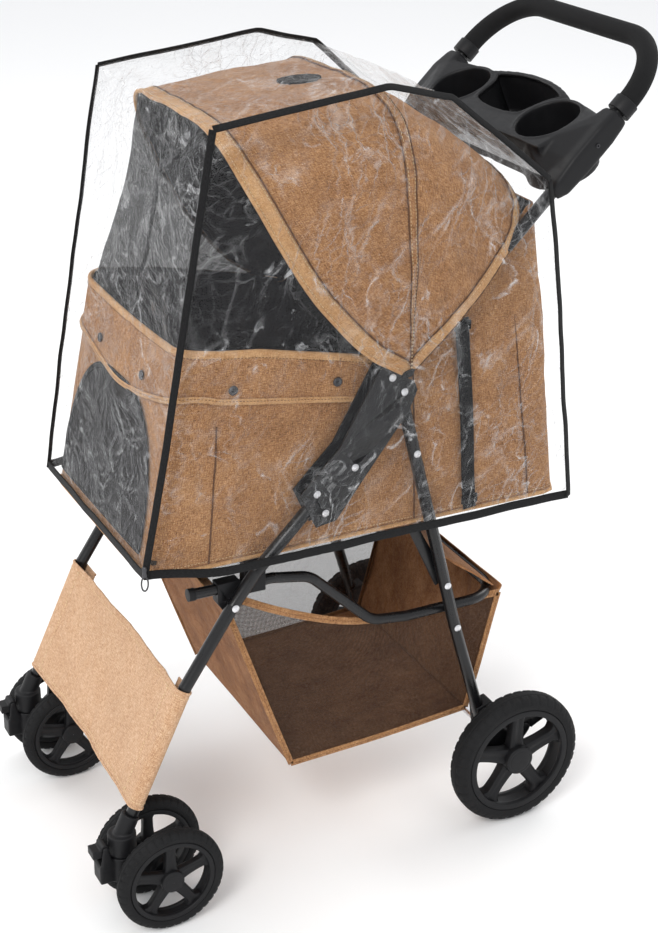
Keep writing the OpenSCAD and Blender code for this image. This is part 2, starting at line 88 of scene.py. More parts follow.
def toned(colour, gain, lift=0.0):
    """The colour made paler or darker, for wear, dust, threads and painted shade."""
    return tuple(min(1.0, c * gain + lift) for c in colour[:3]) + (1.0,)


class Material:
    """A node material with short calls for the nodes used here."""

    def __init__(self, name, base, roughness, **fixed):
        self.m = bpy.data.materials.new(name)
        self.m.use_nodes = True
        self.t = self.m.node_tree
        self.t.nodes.clear()
        out = self.t.nodes.new("ShaderNodeOutputMaterial")
        self.bsdf = self.t.nodes.new("ShaderNodeBsdfPrincipled")
        self.t.links.new(self.bsdf.outputs[0], out.inputs[0])
        self.set("Base Color", base)
        self.set("Roughness", roughness)
        for key, value in fixed.items():
            self.bsdf.inputs[key.replace("_", " ")].default_value = value

    def set(self, key, value):
        if isinstance(value, bpy.types.NodeSocket):
            self.t.links.new(value, self.bsdf.inputs[key])
        else:
            self.bsdf.inputs[key].default_value = value

    def node(self, kind, inputs, out=0, **props):
        n = self.t.nodes.new("ShaderNode" + kind)
        for key, value in props.items():
            setattr(n, key, value)
        for key, value in inputs.items():
            if isinstance(value, bpy.types.NodeSocket):
                self.t.links.new(value, n.inputs[key])
            else:
                n.inputs[key].default_value = value
        return n.outputs[out]

    def coords(self, cloth=False):
        if cloth:
            return self.node("UVMap", {}, uv_map="cloth")
        return self.node("TexCoord", {}, out="Object")

    def scaled(self, vector, scale):
        return self.node("Mapping", {"Vector": vector, "Scale": scale})

    def noise(self, vector, scale, detail=2.0, rough=0.5, distortion=0.0):
        """Noise of one scale, or stretched by a different scale along each axis."""
        if isinstance(scale, tuple):
            vector, scale = self.scaled(vector, scale), 1.0
        return self.node("TexNoise", {"Vector": vector, "Scale": scale, "Detail": detail,
                                      "Roughness": rough, "Distortion": distortion}, out="Fac")

    def math(self, op, a, b=0.0, c=0.0, clamp=False):
        return self.node("Math", {0: a, 1: b, 2: c}, operation=op, use_clamp=clamp)

    def times(self, a, b):
        return self.math("MULTIPLY", a, b)

    def plus(self, a, b, clamp=False):
        return self.math("ADD", a, b, clamp=clamp)

    def remap(self, value, a, b, c=0.0, d=1.0):
        return self.node("MapRange", {"Value": value, "From Min": a, "From Max": b, "To Min": c, "To Max": d})

    def ramp(self, value, stops):
        n = self.t.nodes.new("ShaderNodeValToRGB")
        while len(n.color_ramp.elements) < len(stops):
            n.color_ramp.elements.new(0.5)
        for element, (at, colour) in zip(n.color_ramp.elements, stops):
            element.position = at
            element.color = colour
        self.t.links.new(value, n.inputs[0])
        return n.outputs[0]

    def mix(self, factor, a, b):
        n = self.t.nodes.new("ShaderNodeMix")
        n.data_type = "RGBA"
        for at, value in ((0, factor), (6, a), (7, b)):
            if isinstance(value, bpy.types.NodeSocket):
                self.t.links.new(value, n.inputs[at])
            else:
                n.inputs[at].default_value = value
        return n.outputs[2]

    def bump(self, height, distance, strength=1.0, normal=None):
        inputs = {"Height": height, "Distance": distance, "Strength": strength}
        if normal is not None:
            inputs["Normal"] = normal
        return self.node("Bump", inputs)

    def wave(self, vector, axis, period, phase=0.0):
        """A sine of that period in metres along one axis of the coordinates, from -1 to 1."""
        part = self.node("SeparateXYZ", {"Vector": vector}, out=axis)
        return self.math("SINE", self.math("MULTIPLY_ADD", part, 2 * math.pi / period, phase))

    def edge_wear(self, radius=0.0015):
        """1 on sharp outer edges, from the angle between the flat and a softened normal."""
        soft = self.node("Bevel", {"Radius": radius}, samples=4)
        flat = self.node("NewGeometry", {}, out="Normal")
        dot = self.node("VectorMath", {0: soft, 1: flat}, out="Value", operation="DOT_PRODUCT")
        return self.remap(dot, 0.995, 0.9, 0.0, 1.0)


def tweed(name, dark, base, light, thread=0.0011, painted_sheen_share=0.2):
    """Woven cloth of mixed threads: slubs along both ways of the weave, slow mottling that is painted sheen, broad
    darker patches of painted shade, and a soft sheen.
    """
    m = Material(name, base, 0.9, Sheen_Weight=0.12, Sheen_Roughness=0.5, Specular_IOR_Level=0.15)
    uv = m.coords(cloth=True)
    warp = m.noise(uv, (1300, 130, 1), 2.0, 0.6)
    weft = m.noise(uv, (130, 1300, 1), 2.0, 0.6)
    fleck = m.noise(uv, (620, 620, 1), 2.0, 0.7)
    threads = m.plus(m.times(warp, 0.5), m.times(weft, 0.5))
    heather = m.plus(m.times(threads, 0.72), m.times(fleck, 0.28))
    # painted sheen: slow mottling, lighter and darker blotches standing for the nap catching the light
    painted_sheen = m.noise(uv, (20, 15, 1), 7.0, 0.75)
    both = m.plus(m.times(heather, 1 - painted_sheen_share), m.times(painted_sheen, painted_sheen_share))
    colour = m.ramp(both, [(0.41, dark), (0.5, base), (0.59, light)])
    # painted shade: broad patches darkened towards two thirds of the base colour
    painted_shade = m.noise(uv, (6, 8, 1), 4.0, 0.55)
    m.set("Base Color", m.mix(m.remap(painted_shade, 0.38, 0.68, 0.0, 0.22), colour, toned(base, 0.66)))
    weave = m.times(m.wave(uv, 0, thread), m.wave(uv, 1, thread))
    height = m.plus(m.times(weave, 0.35), m.times(threads, 1.6))
    crease = m.noise(uv, (20, 15, 1), 5.0, 0.6, 0.7)
    m.set("Normal", m.bump(crease, 0.010, 0.8, m.bump(height, 0.0006, 0.9)))
    m.set("Roughness", m.remap(threads, 0.3, 0.7, 0.95, 0.82))
    return m.m


def net(name, colour, solid, hole, pitch=0.0016):
    """Knitted net: the strands are solid and the holes let through what is behind, by alpha."""
    m = Material(name, colour, 0.7, Specular_IOR_Level=0.12, Sheen_Weight=0.04)
    uv = m.coords(cloth=True)
    strands = m.math("MAXIMUM", m.wave(uv, 0, pitch), m.wave(uv, 1, pitch))
    tuft = m.noise(uv, (260, 260, 1), 3.0)
    m.set("Base Color", m.mix(m.remap(tuft, 0.3, 0.7), colour, toned(colour, 2.2, 0.004)))
    if solid < 1 or hole < 1:
        m.set("Alpha", m.remap(strands, 0.1, 0.7, hole, solid))
    m.set("Normal", m.bump(strands, 0.0003, 0.8))
    return m.m


def moulded(name, colour, roughness, grain=1400.0, depth=0.00012, wear=0.35, **fixed):
    """Moulded plastic with a fine grain, faint scuffs and paler rubbed edges."""
    m = Material(name, colour, roughness, Specular_IOR_Level=0.25, **fixed)
    at = m.coords()
    fine = m.noise(at, grain, 3.0, 0.6)
    scuff = m.noise(at, (40, 95, 60), 6.0, 0.7, 0.4)
    edge = m.times(m.edge_wear(), m.remap(scuff, 0.4, 0.7, 0.2, 1.0))
    pale = toned(colour, 2.2, 0.006)
    colour_out = m.mix(m.remap(scuff, 0.35, 0.75, 0.0, 0.12), colour, pale)
    m.set("Base Color", m.mix(m.times(edge, wear), colour_out, pale))
    m.set("Roughness", m.remap(scuff, 0.3, 0.7, roughness - 0.06, roughness + 0.1))
    m.set("Normal", m.bump(fine, depth, 0.6))
    return m.m


def painted(name, colour, roughness, **fixed):
    """Powder coat over steel: slight orange peel, clear gloss and a few dull marks."""
    m = Material(name, colour, roughness, Specular_IOR_Level=0.35, Coat_Weight=0.12, Coat_Roughness=0.15, **fixed)
    at = m.coords()
    peel = m.noise(at, 420, 2.0, 0.5)
    marks = m.noise(at, (70, 30, 24), 5.0, 0.7)
    m.set("Roughness", m.remap(marks, 0.35, 0.7, roughness - 0.08, roughness + 0.16))
    m.set("Base Color", m.mix(m.times(m.edge_wear(), 0.4), colour, toned(colour, 2.2, 0.01)))
    m.set("Normal", m.bump(peel, 0.00012, 0.5))
    return m.m


def metal(name, colour, roughness):
    """Plated steel with fine turning marks and dull spots."""
    m = Material(name, colour, roughness, Metallic=1.0)
    at = m.coords()
    lines = m.noise(at, (60, 900, 900), 3.0, 0.6)
    spots = m.noise(at, 160, 4.0, 0.6)
    m.set("Roughness", m.remap(spots, 0.35, 0.7, roughness - 0.08, roughness + 0.18))
    m.set("Base Color", m.mix(m.remap(spots, 0.45, 0.75, 0.0, 0.6), colour, toned(colour, 0.7)))
    m.set("Normal", m.bump(lines, 0.00005, 0.5))
    return m.m


def rubber(name, colour, grain, depth, roughness=0.72):
    """Moulded or foamed rubber: pebbled skin with dusty patches."""
    m = Material(name, colour, roughness, Specular_IOR_Level=0.16)
    at = m.coords()
    pebble = m.node("TexVoronoi", {"Vector": at, "Scale": grain}, out="Distance")
    dust = m.noise(at, (30, 30, 30), 5.0, 0.65)
    m.set("Base Color", m.mix(m.remap(dust, 0.4, 0.75, 0.0, 0.7), colour, toned(colour, 1.7, 0.004)))
    m.set("Roughness", m.remap(dust, 0.3, 0.7, roughness - 0.1, roughness + 0.12))
    m.set("Normal", m.bump(pebble, depth, 0.7))
    return m.m


def ribbon(name, colour, rib=0.0012):
    """Grosgrain tape: fine ribs across it and a slight lustre."""
    m = Material(name, colour, 0.75, Sheen_Weight=0.05, Specular_IOR_Level=0.12)
    uv = m.coords(cloth=True)
    ribs = m.wave(uv, 0, rib)
    fuzz = m.noise(uv, (300, 900, 1), 3.0)
    m.set("Base Color", m.mix(m.remap(fuzz, 0.35, 0.7), colour, toned(colour, 1.7, 0.006)))
    m.set("Normal", m.bump(m.plus(ribs, fuzz), 0.00025, 0.7))
    return m.m


def film(name):
    """Clear vinyl: a little haze, crinkle lines whitened as painted highlights, painted glints, and more shine at
    grazing angles.
    """
    m = Material(name, (0.95, 0.96, 0.97, 1), 0.10, IOR=1.5, Specular_IOR_Level=1.0, Coat_Weight=0.8,
                 Coat_Roughness=0.05)
    uv = m.coords(cloth=True)
    warp = m.noise(uv, (7, 6, 1), 4.0, 0.6, 0.6)
    bent = m.node("VectorMath", {0: uv, 1: m.node("CombineXYZ", {0: m.times(warp, 0.13),
                                                                 1: m.times(warp, 0.09)})},
                  out="Vector", operation="ADD")
    patch = m.noise(uv, (8, 6, 1), 5.0, 0.62, 0.8)
    lines = []
    for stretch, width in (((30, 13, 1), 0.07), ((48, 70, 1), 0.10)):
        cells = m.node("TexVoronoi", {"Vector": m.scaled(bent, stretch), "Scale": 1.0}, out="Distance",
                       feature="DISTANCE_TO_EDGE")
        lines.append(m.remap(cells, 0.0, width, 1.0, 0.0))
    crinkle = m.plus(m.times(lines[0], m.remap(patch, 0.41, 0.60, 0.0, 0.9)),
                     m.times(lines[1], m.remap(patch, 0.44, 0.64, 0.0, 0.7)))
    big = m.noise(uv, (20, 12, 1), 5.0, 0.6, 1.2)
    fine = m.noise(bent, (85, 60, 1), 4.0, 0.6, 0.8)
    relief = m.plus(m.times(crinkle, 0.22), m.plus(big, m.times(fine, 0.16)))
    normal = m.bump(relief, 0.016, 1.0)
    rim = m.node("LayerWeight", {"Blend": 0.30, "Normal": normal}, out="Fresnel")
    # glints: noise patches of painted highlight, whiter and more opaque
    glints = m.remap(m.noise(bent, (26, 19, 1), 5.0, 0.62, 1.6), 0.60, 0.74, 0.0, 0.42)
    # the alpha rises at grazing angles and where the painted highlights of glints and crinkle lines are, so that they
    # show
    alpha = m.plus(m.times(rim, 0.36),
                   m.plus(m.plus(0.012, glints), m.times(crinkle, 0.14)), clamp=True)
    # painted highlight: the base colour turns white along the crinkle lines and at the glints
    painted_highlight = m.plus(m.times(crinkle, 1.2), m.times(glints, 2.0), clamp=True)
    m.set("Base Color", m.mix(painted_highlight, (0.50, 0.51, 0.53, 1), (0.97, 0.98, 0.99, 1)))
    m.set("Alpha", alpha)
    m.set("Normal", normal)
    m.set("Roughness", m.remap(patch, 0.3, 0.7, 0.05, 0.18))
    return m.m


TAN = tweed("fabric_tan", srgb(112, 74, 42), srgb(170, 121, 78), srgb(212, 167, 120))
TAN_LIGHT = tweed("fabric_light_tan", srgb(172, 128, 94), srgb(207, 164, 127), srgb(232, 202, 170), painted_sheen_share=0.12)
BROWN = tweed("fabric_brown", srgb(112, 68, 36), srgb(160, 108, 66), srgb(192, 142, 98), painted_sheen_share=0.4)
TRIM_TAN = tweed("binding_tan", srgb(170, 120, 76), srgb(205, 158, 108), srgb(228, 188, 142), painted_sheen_share=0.3)
LINING = tweed("fabric_lining", srgb(18, 17, 17), srgb(34, 32, 32), srgb(52, 49, 48), painted_sheen_share=0.3)
NET = net("door_net", srgb(20, 19, 20), 0.92, 0.42)
NET_SIDE = net("basket_net", srgb(52, 38, 29), 0.85, 0.34)
NET_DARK = net("window_net", srgb(26, 24, 25), 1.0, 1.0)
BLACK_TAPE = ribbon("binding_black", srgb(17, 17, 18))
DARK_THREAD = ribbon("thread_dark", srgb(92, 62, 40), 0.0006)
TAN_THREAD = ribbon("thread_tan", srgb(224, 190, 150), 0.0006)
TUBE = painted("tube_black", srgb(15, 15, 17), 0.3)
PLATE = painted("plate_black", srgb(18, 18, 20), 0.42)
PLASTIC = moulded("plastic_black", srgb(18, 18, 20), 0.5)
TRAY_PLASTIC = moulded("tray_black", srgb(20, 20, 22), 0.46, grain=1900.0)
FOAM = rubber("foam_black", srgb(20, 20, 21), 900.0, 0.0005, 0.8)
TYRE = rubber("tyre_rubber", srgb(24, 24, 25), 520.0, 0.0005, 0.7)
ZINC = metal("zinc_steel", (0.74, 0.74, 0.76, 1), 0.28)
BATTEN = moulded("batten", srgb(40, 36, 32), 0.4)
BOARD = moulded("board", srgb(60, 52, 44), 0.85)
SCREW = metal("screw_black", (0.08, 0.08, 0.085, 1), 0.4)
FILM = film("clear_film")


# ---- mesh helpers, in millimetres ---------------------------------------------------------------
def build(name, verts, faces, mats, body, uv=None, smooth=True):
    """Makes a piece from vertices in millimetres, which rides on a body."""
    mesh = bpy.data.meshes.new(name)
    mesh.from_pydata((np.asarray(verts, float) * MM).tolist(), [], [tuple(map(int, f)) for f in faces])
    if uv is not None:
        layer = mesh.uv_layers.new(name="cloth")
        index = np.zeros(len(mesh.loops), int)
        mesh.loops.foreach_get("vertex_index", index)
        layer.data.foreach_set("uv", (np.asarray(uv, float) * MM)[index].ravel())
    mesh.polygons.foreach_set("use_smooth", [smooth] * len(mesh.polygons))
    for m in mats if isinstance(mats, (list, tuple)) else [mats]:
        mesh.materials.append(m)
    ob = bpy.data.objects.new(name, mesh)
    scene.collection.objects.link(ob)
    if body:
        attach(ob, body)
    return ob


def frozen(ob):
    """Turns an object's modifiers into its mesh."""
    bpy.context.view_layer.update()
    mesh = bpy.data.meshes.new_from_object(ob.evaluated_get(bpy.context.evaluated_depsgraph_get()))
    ob.modifiers.clear()
    ob.data = mesh
    return ob


def modifier(ob, kind, **settings):
    made = ob.modifiers.new(kind.lower(), kind)
    for key, value in settings.items():
        setattr(made, key, value)
    return made


def subdivided(ob, levels=1):
    modifier(ob, "SUBSURF", levels=levels, render_levels=levels)


def quads(nu, nv, wrap_u=False, wrap_v=False, flip=False):
    """Faces of a grid of points."""
    i, j = np.meshgrid(np.arange(nu if wrap_u else nu - 1), np.arange(nv if wrap_v else nv - 1), indexing="ij")
    i, j = i.ravel(), j.ravel()
    i2, j2 = (i + 1) % nu, (j + 1) % nv
    f = np.stack([i * nv + j, i2 * nv + j, i2 * nv + j2, i * nv + j2], 1)
    return f[:, ::-1] if flip else f


def sheet_uv(p):
    """Lengths along both ways of a grid of points, so that a weave keeps its scale."""
    u = np.zeros(p.shape[:2])
    v = np.zeros(p.shape[:2])
    u[1:] = np.cumsum(np.linalg.norm(np.diff(p, axis=0), axis=2), 0)
    v[:, 1:] = np.cumsum(np.linalg.norm(np.diff(p, axis=1), axis=2), 1)
    u = np.repeat(u.mean(1)[:, None], p.shape[1], 1)
    return np.stack([u, v], 2).reshape(-1, 2)


def grid(name, p, mats, body, flip=False, thick=0.0, subdivide=0):
    """A sheet through a grid of points. With a thickness, its far side takes the second material."""
    ob = build(name, p.reshape(-1, 3), quads(*p.shape[:2], flip=flip), mats, body, sheet_uv(p))
    if subdivide:
        subdivided(ob, subdivide)
    if thick:
        two_sided = isinstance(mats, (list, tuple)) and len(mats) > 1
        modifier(ob, "SOLIDIFY", thickness=thick * MM, offset=-1, material_offset=int(two_sided))
    return ob


def lengths(p):
    """Length along a path at each of its points."""
    return np.concatenate([[0], np.cumsum(np.linalg.norm(np.diff(p, axis=0), axis=1))])


def sampled(at, known, values):
    """Rows of values between the known ones."""
    return np.stack([np.interp(at, known, values[:, k]) for k in range(values.shape[1])], -1)


def facing(direction, n):
    """The same direction at each of n points."""
    return np.tile(np.asarray(direction, float), (n, 1))


def spline(points, n):
    """A smooth curve through the points, at n equal steps of length."""
    p = np.asarray(points, float)
    ext = np.vstack([2 * p[0] - p[1], p, 2 * p[-1] - p[-2]])
    t = np.linspace(0, 1, 24, endpoint=False)[:, None]
    rows = []
    for i in range(len(ext) - 3):
        a, b, c, d = ext[i:i + 4]
        rows.append(0.5 * (2 * b + (c - a) * t + (2 * a - 5 * b + 4 * c - d) * t ** 2
                           + (3 * b - a - 3 * c + d) * t ** 3))
    return resample(np.vstack(rows + [p[-1:]]), n)


def resample(dense, n):
    """The path as n points at equal steps of length."""
    dense = np.asarray(dense, float)
    known = lengths(dense)
    return sampled(np.linspace(0, known[-1], n), known, dense)


def path_length(p):
    return float(np.linalg.norm(np.diff(p, axis=0), axis=1).sum())


def unit(v):
    return v / np.maximum(np.linalg.norm(v, axis=-1, keepdims=True), 1e-9)


def tangents(p, closed=False):
    if closed:
        return unit(np.roll(p, -1, 0) - np.roll(p, 1, 0))
    return unit(np.gradient(p, axis=0))


def carried_normals(p, first, closed=False):
    """Normals along a path that turn as little as they can."""
    t = tangents(p, closed)
    out = [unit(np.asarray(first, float) - np.dot(first, t[0]) * t[0])]
    for i in range(1, len(p)):
        n = out[-1] - np.dot(out[-1], t[i]) * t[i]
        out.append(unit(n))
    return np.array(out)


def sweep(name, p, profile, mats, body, normals=None, closed=False, scale=None):
    """Carries a closed profile of (across, up) points along a path, with up along the normals."""
    p = np.asarray(p, float)
    profile = np.asarray(profile, float)
    if normals is None:
        t0 = tangents(p, closed)[0]
        normals = carried_normals(p, (0, 0, 1) if abs(t0[2]) < 0.9 else (1, 0, 0), closed)
    t = tangents(p, closed)
    up = unit(normals - (normals * t).sum(1, keepdims=True) * t)
    across = np.cross(t, up)
    k = len(profile)
    size = np.ones(len(p)) if scale is None else np.asarray(scale, float)
    v = (p[:, None] + across[:, None] * (profile[None, :, :1] * size[:, None, None])
         + up[:, None] * (profile[None, :, 1:] * size[:, None, None])).reshape(-1, 3)
    f = [tuple(q) for q in quads(len(p), k, wrap_u=closed, wrap_v=True)]
    uv = np.stack(np.meshgrid(lengths(p), lengths(profile), indexing="ij"), 2).reshape(-1, 2)
    if not closed:
        last = (len(p) - 1) * k
        f += [tuple(range(k)), tuple(range(last, last + k))[::-1]]
    return build(name, v, f, mats, body, uv)


def circle(r, n, squash=1.0):
    a = np.linspace(0, 2 * math.pi, n, endpoint=False)
    return np.stack([r * np.cos(a), r * squash * np.sin(a)], 1)


def band(width, thick, n=5):
    """Profile of a tape with rounded edges."""
    r = thick / 2
    a = np.linspace(-math.pi / 2, math.pi / 2, n)
    right = np.stack([width / 2 - r + r * np.cos(a), r * np.sin(a)], 1)
    return np.vstack([right, -right])


def stitches(name, p, normals, body, colour, step=4.2, length=2.7, r=0.35):
    """A run of separate thread stitches that follows a path just above the surface."""
    total = path_length(p)
    n = max(2, int(total / step))
    at = lengths(p)
    start = (np.arange(n) + 0.15) * total / n
    rows = []
    for share, lift, size in ((0, -0.15, 0.35), (0.3, 0.25, 1.0), (0.7, 0.25, 1.0), (1, -0.15, 0.35)):
        s = start + length * share
        q, up = sampled(s, at, p), unit(sampled(s, at, normals))
        t = unit(sampled(s + 0.5, at, p) - sampled(s - 0.5, at, p) + 1e-9)
        side = unit(np.cross(t, up))
        up = np.cross(side, t)
        for a in range(4):
            c, d = math.cos(a * math.pi / 2), math.sin(a * math.pi / 2)
            rows.append(q + up * lift + (side * c + up * d) * r * size)
    v = np.array(rows).reshape(4, 4, n, 3).transpose(2, 0, 1, 3).reshape(-1, 3)
    one = [tuple(q) for q in quads(4, 4, wrap_v=True)] + [(3, 2, 1, 0), (12, 13, 14, 15)]
    f = [tuple(16 * i + k for k in face) for i in range(n) for face in one]
    return build(name, v, f, colour, body, uv=v[:, :2])


def grid_normals(p):
    return unit(np.cross(np.gradient(p, axis=0), np.gradient(p, axis=1)))


def pointed(n, outward):
    """The normals, each turned round where it doesn't point the outward way."""
    return n * np.sign((n * outward).sum(-1, keepdims=True) + 1e-9)


def plan_normals(p):
    """Level normals of a path, to its right in plan."""
    t = np.gradient(p, axis=0)
    return unit(np.stack([t[..., 1], -t[..., 0], np.zeros(t.shape[:-1])], -1))


def at_x(x, yz):
    """Points (y, z) as 3-D points at that x."""
    yz = np.asarray(yz, float)
    return np.stack([np.full(len(yz), x), yz[:, 0], yz[:, 1]], 1)


def ripple(p, size, seed=0.0, octaves=3):
    """Smooth noise from -1 to 1 at each point, for soft folds of that size."""
    flat = p.reshape(-1, 3) / size
    values = [noise.fractal(Vector(q) + Vector((seed, seed * 1.7, -seed)), 1.0, 2.0, octaves) for q in flat]
    return np.array(values).reshape(p.shape[:-1])


def smooth(t):
    """Eased step from 0 to 1."""
    t = np.clip(t, 0, 1)
    return t * t * (3 - 2 * t)


def lathe(profile, turns):
    """Points and faces of a closed profile of (along, radius) turned round the X axis."""
    a = np.linspace(0, 2 * math.pi, turns, endpoint=False)
    pr = np.asarray(profile, float)
    v = np.stack([np.repeat(pr[None, :, 0], turns, 0), pr[None, :, 1] * np.cos(a)[:, None],
                  pr[None, :, 1] * np.sin(a)[:, None]], 2)
    return v, quads(turns, len(pr), wrap_u=True, wrap_v=True)


# ---- hood ---------------------------------------------------------------------------------------
HOOD_APEX = np.array([20.0, 640.0])
HOOD_HALF = 187.2
HOOD_MIDDLE = np.array([0, 20, 760])
HEM_FRONT = spline([(13, 641), (-30, 668), (-70, 710), (-106, 759), (-154, 850), (-188, 926)], 80)
HOOD_SEAM = spline([(24, 645), (25, 760), (25, 860), (25, 944)], 80)
HEM_REAR = spline([(30, 643), (70, 676), (117, 720), (160, 772), (192, 826)], 80)


def along(curve, s):
    return sampled(s, np.linspace(0, 1, len(curve)), curve)


def section_table(n=400, power=5.0):
    """Shares of half width and of height along the hood's boxy section, from left foot to right foot."""
    a = np.linspace(0, math.pi, n)
    x = np.sign(np.cos(a)) * np.abs(np.cos(a)) ** (2 / power)
    s = np.abs(np.sin(a)) ** (2 / power)
    at = lengths(np.stack([x * 178, s * 300], 1))
    t = np.linspace(0, at[-1], n)
    return np.interp(t, at, x), np.interp(t, at, s)


SECTION_X, SECTION_S = section_table()


def hood(tau, v):
    """Points of the hood: tau runs from left foot to right foot over the top, v from front to rear hem."""
    tau, v = np.broadcast_arrays(np.asarray(tau, float), np.asarray(v, float))
    at = np.linspace(0, 1, len(SECTION_X))
    x, s = np.interp(tau, at, SECTION_X), np.interp(tau, at, SECTION_S)
    f, m, r = along(HEM_FRONT, s), along(HOOD_SEAM, s), along(HEM_REAR, s)
    front = (v < 0.5)[..., None]
    a, b = np.where(front, f, m), np.where(front, m, r)
    w = np.where(v < 0.5, v / 0.5, (v - 0.5) / 0.5)[..., None]
    k = np.where(front, 0.22, 0.55)
    chord = a + (b - a) * w
    def polar(p):
        d = p - HOOD_APEX
        return np.linalg.norm(d, axis=-1, keepdims=True), np.arctan2(d[..., 1:], d[..., :1])
    (ra, ta), (rb, tb) = polar(a), polar(b)
    ta, tb = np.where(ta < 0, ta + 2 * math.pi, ta), np.where(tb < 0, tb + 2 * math.pi, tb)
    rr, tt = ra + (rb - ra) * w, ta + (tb - ta) * w
    round_ = HOOD_APEX + np.concatenate([rr * np.cos(tt), rr * np.sin(tt)], -1)
    yz = chord * (1 - k) + round_ * k
    half = HOOD_HALF - 24.0 * smooth(s) * np.clip(1 - 1.4 * v, 0, 1) - 3.0 * smooth(s)
    return np.stack([x * half, yz[..., 0], yz[..., 1]], -1)


def hood_normals(tau, v, e=0.004):
    v0, v1 = np.clip(v - e, 0, 1), np.clip(v + e, 0, 1)
    t0, t1 = np.clip(tau - e, 0, 1), np.clip(tau + e, 0, 1)
    n = unit(np.cross(hood(tau, v1) - hood(tau, v0), hood(t1, v) - hood(t0, v)))
    return pointed(n, hood(tau, v) - HOOD_MIDDLE)


def hood_relief(p, tau, v):
    """Soft folds: radial ones that fan out from the feet, and puckers along the seam and hems."""
    s = np.interp(tau, np.linspace(0, 1, len(SECTION_S)), SECTION_S)
    side = np.where(tau < 0.5, 1.0, -1.0)
    fan = np.sin(v * 34 + 2.2 * np.sin(s * 4 + side) + side) * np.exp(-((s - 0.45) / 0.3) ** 2)
    panel_share = np.clip(np.where(v < 0.5, v / 0.5, (v - 0.5) / 0.5), 0, 1)
    sag = -np.sin(math.pi * panel_share) * smooth((s - 0.75) / 0.25)
    corner = np.exp(-((v - 0.86) / 0.10) ** 2) * np.exp(-((s - 0.86) / 0.12) ** 2) * np.sin(s * 60 + v * 25)
    return (0.9 * fan * np.minimum(1, s * 3) + 4.0 * ripple(p, 95, 3.0, 2) * np.minimum(1, s * 2)
            + 1.5 * ripple(p, 30, 8.0, 3) + 3.0 * sag + 1.6 * corner)


def shares(v, tau):
    return v(tau) if callable(v) else np.full(len(tau), v)


def hood_surface(tau, v, lift):
    """Points of the hood with its folds, raised by the lift, and the normals."""
    p, normal = hood(tau, v), hood_normals(tau, v)
    return p + normal * (hood_relief(p, tau, v) + lift)[..., None], normal


def hood_sheet(name, v0, v1, outside, body, lift=0.0, m=26, thick=1.6):
    tau = np.linspace(0, 1, 90)
    a, b = shares(v0, tau), shares(v1, tau)
    v = a[:, None] + (b - a)[:, None] * np.linspace(0, 1, m)[None]
    p, _ = hood_surface(tau[:, None] * np.ones((1, m)), v, lift)
    return grid(name, p, [outside, LINING], body, flip=True, thick=thick)


def hood_width(tau, side):
    a, b = (0.0, 0.5) if side == "front" else (1.0, 0.5)
    return np.linalg.norm(hood(tau, np.full_like(tau, a)) - hood(tau, np.full_like(tau, b)), axis=-1)


def front_share(mm):
    return lambda tau: np.clip(0.5 * mm / np.maximum(hood_width(tau, "front"), 1), 0, 0.46)


def rear_share(mm):
    return lambda tau: 1 - np.clip(0.5 * mm / np.maximum(hood_width(tau, "rear"), 1), 0, 0.46)


def hood_line(v, lift, n=220):
    tau = np.linspace(0, 1, n)
    return hood_surface(tau, shares(v, tau), lift)


def rounded_box(at, size, r, n=5):
    """A small box with rounded corners, drawn as a squared-off ball."""
    a = np.linspace(-math.pi / 2, math.pi / 2, 2 * n + 1)
    b = np.linspace(0, 2 * math.pi, 8 * n, endpoint=False)
    ca, sa = np.cos(a)[None, :], np.sin(a)[None, :]
    level = np.broadcast_to(sa, (len(b), len(a)))
    d = np.stack([np.cos(b)[:, None] * ca, np.sin(b)[:, None] * ca, level], 2)
    core = np.asarray(size, float) / 2 - r
    p = np.sign(d) * (np.abs(d) > 1e-6) * core + d * r + np.asarray(at, float)
    return p.reshape(-1, 3), [tuple(q) for q in quads(len(b), len(a), wrap_u=True)]


def fold_hood(ob):
    """Gives the hood piece its own copy of its mesh."""
    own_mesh(ob)


front_skin = hood_sheet("hood_front_panel", 0.0, 0.5, TAN, "canopy")
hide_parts("canopy_front")
rear_skin = hood_sheet("hood_rear_panel", 0.5, 1.0, TAN, "handle", m=24)
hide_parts("canopy_rear")
hood_parts = [front_skin, rear_skin,
              hood_sheet("hood_front_hem", 0.0, front_share(19), TRIM_TAN, "canopy", 1.0, 5, 2.2),
              hood_sheet("hood_rear_hem", rear_share(14), 1.0, TRIM_TAN, "handle", 1.0, 5, 2.2),
              hood_sheet("hood_seam_band", 0.49, 0.52, TAN, "handle", 1.3, 5, 2.2)]
for label, v, lift, body in (("front_hem_piping", front_share(20.5), 1.1, "canopy"),
                             ("rear_hem_piping", rear_share(15.5), 1.1, "handle"),
                             ("seam_piping_front", 0.487, 1.0, "handle"),
                             ("seam_piping_rear", 0.523, 1.0, "handle")):
    p, normal = hood_line(v, lift)
    hood_parts.append(sweep("hood_" + label, p, circle(0.85, 8), DARK_THREAD, body, normal))
for label, v, body in (("front_hem_outer", front_share(3.5), "canopy"),
                       ("front_hem_inner", front_share(17), "canopy"),
                       ("rear_hem_inner", rear_share(11.5), "handle"),
                       ("seam_a", 0.494, "handle"), ("seam_b", 0.516, "handle")):
    p, normal = hood_line(v, 1.75)
    hood_parts.append(stitches("hood_stitch_" + label, p, normal, body, TAN_THREAD))
p, normal = hood_line(0.004, -0.4)
hood_parts.append(sweep("hood_front_edge", p, circle(2.6, 10), TRIM_TAN, "canopy", normal))
p, normal = hood_line(0.996, -0.4)
hood_parts.append(sweep("hood_rear_edge", p, circle(1.7, 8), DARK_THREAD, "handle", normal))
for label, v, body in (("front", front_share(10), "canopy"), ("mid", 0.505, "handle")):
    line, _ = hood_line(v, -4.6)
    ob = sweep(f"hood_{label}_batten", line[8:-8], circle(2.6, 10), BATTEN, body)
    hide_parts(f"canopy_{label}_hoop")
    hood_parts.append(ob)

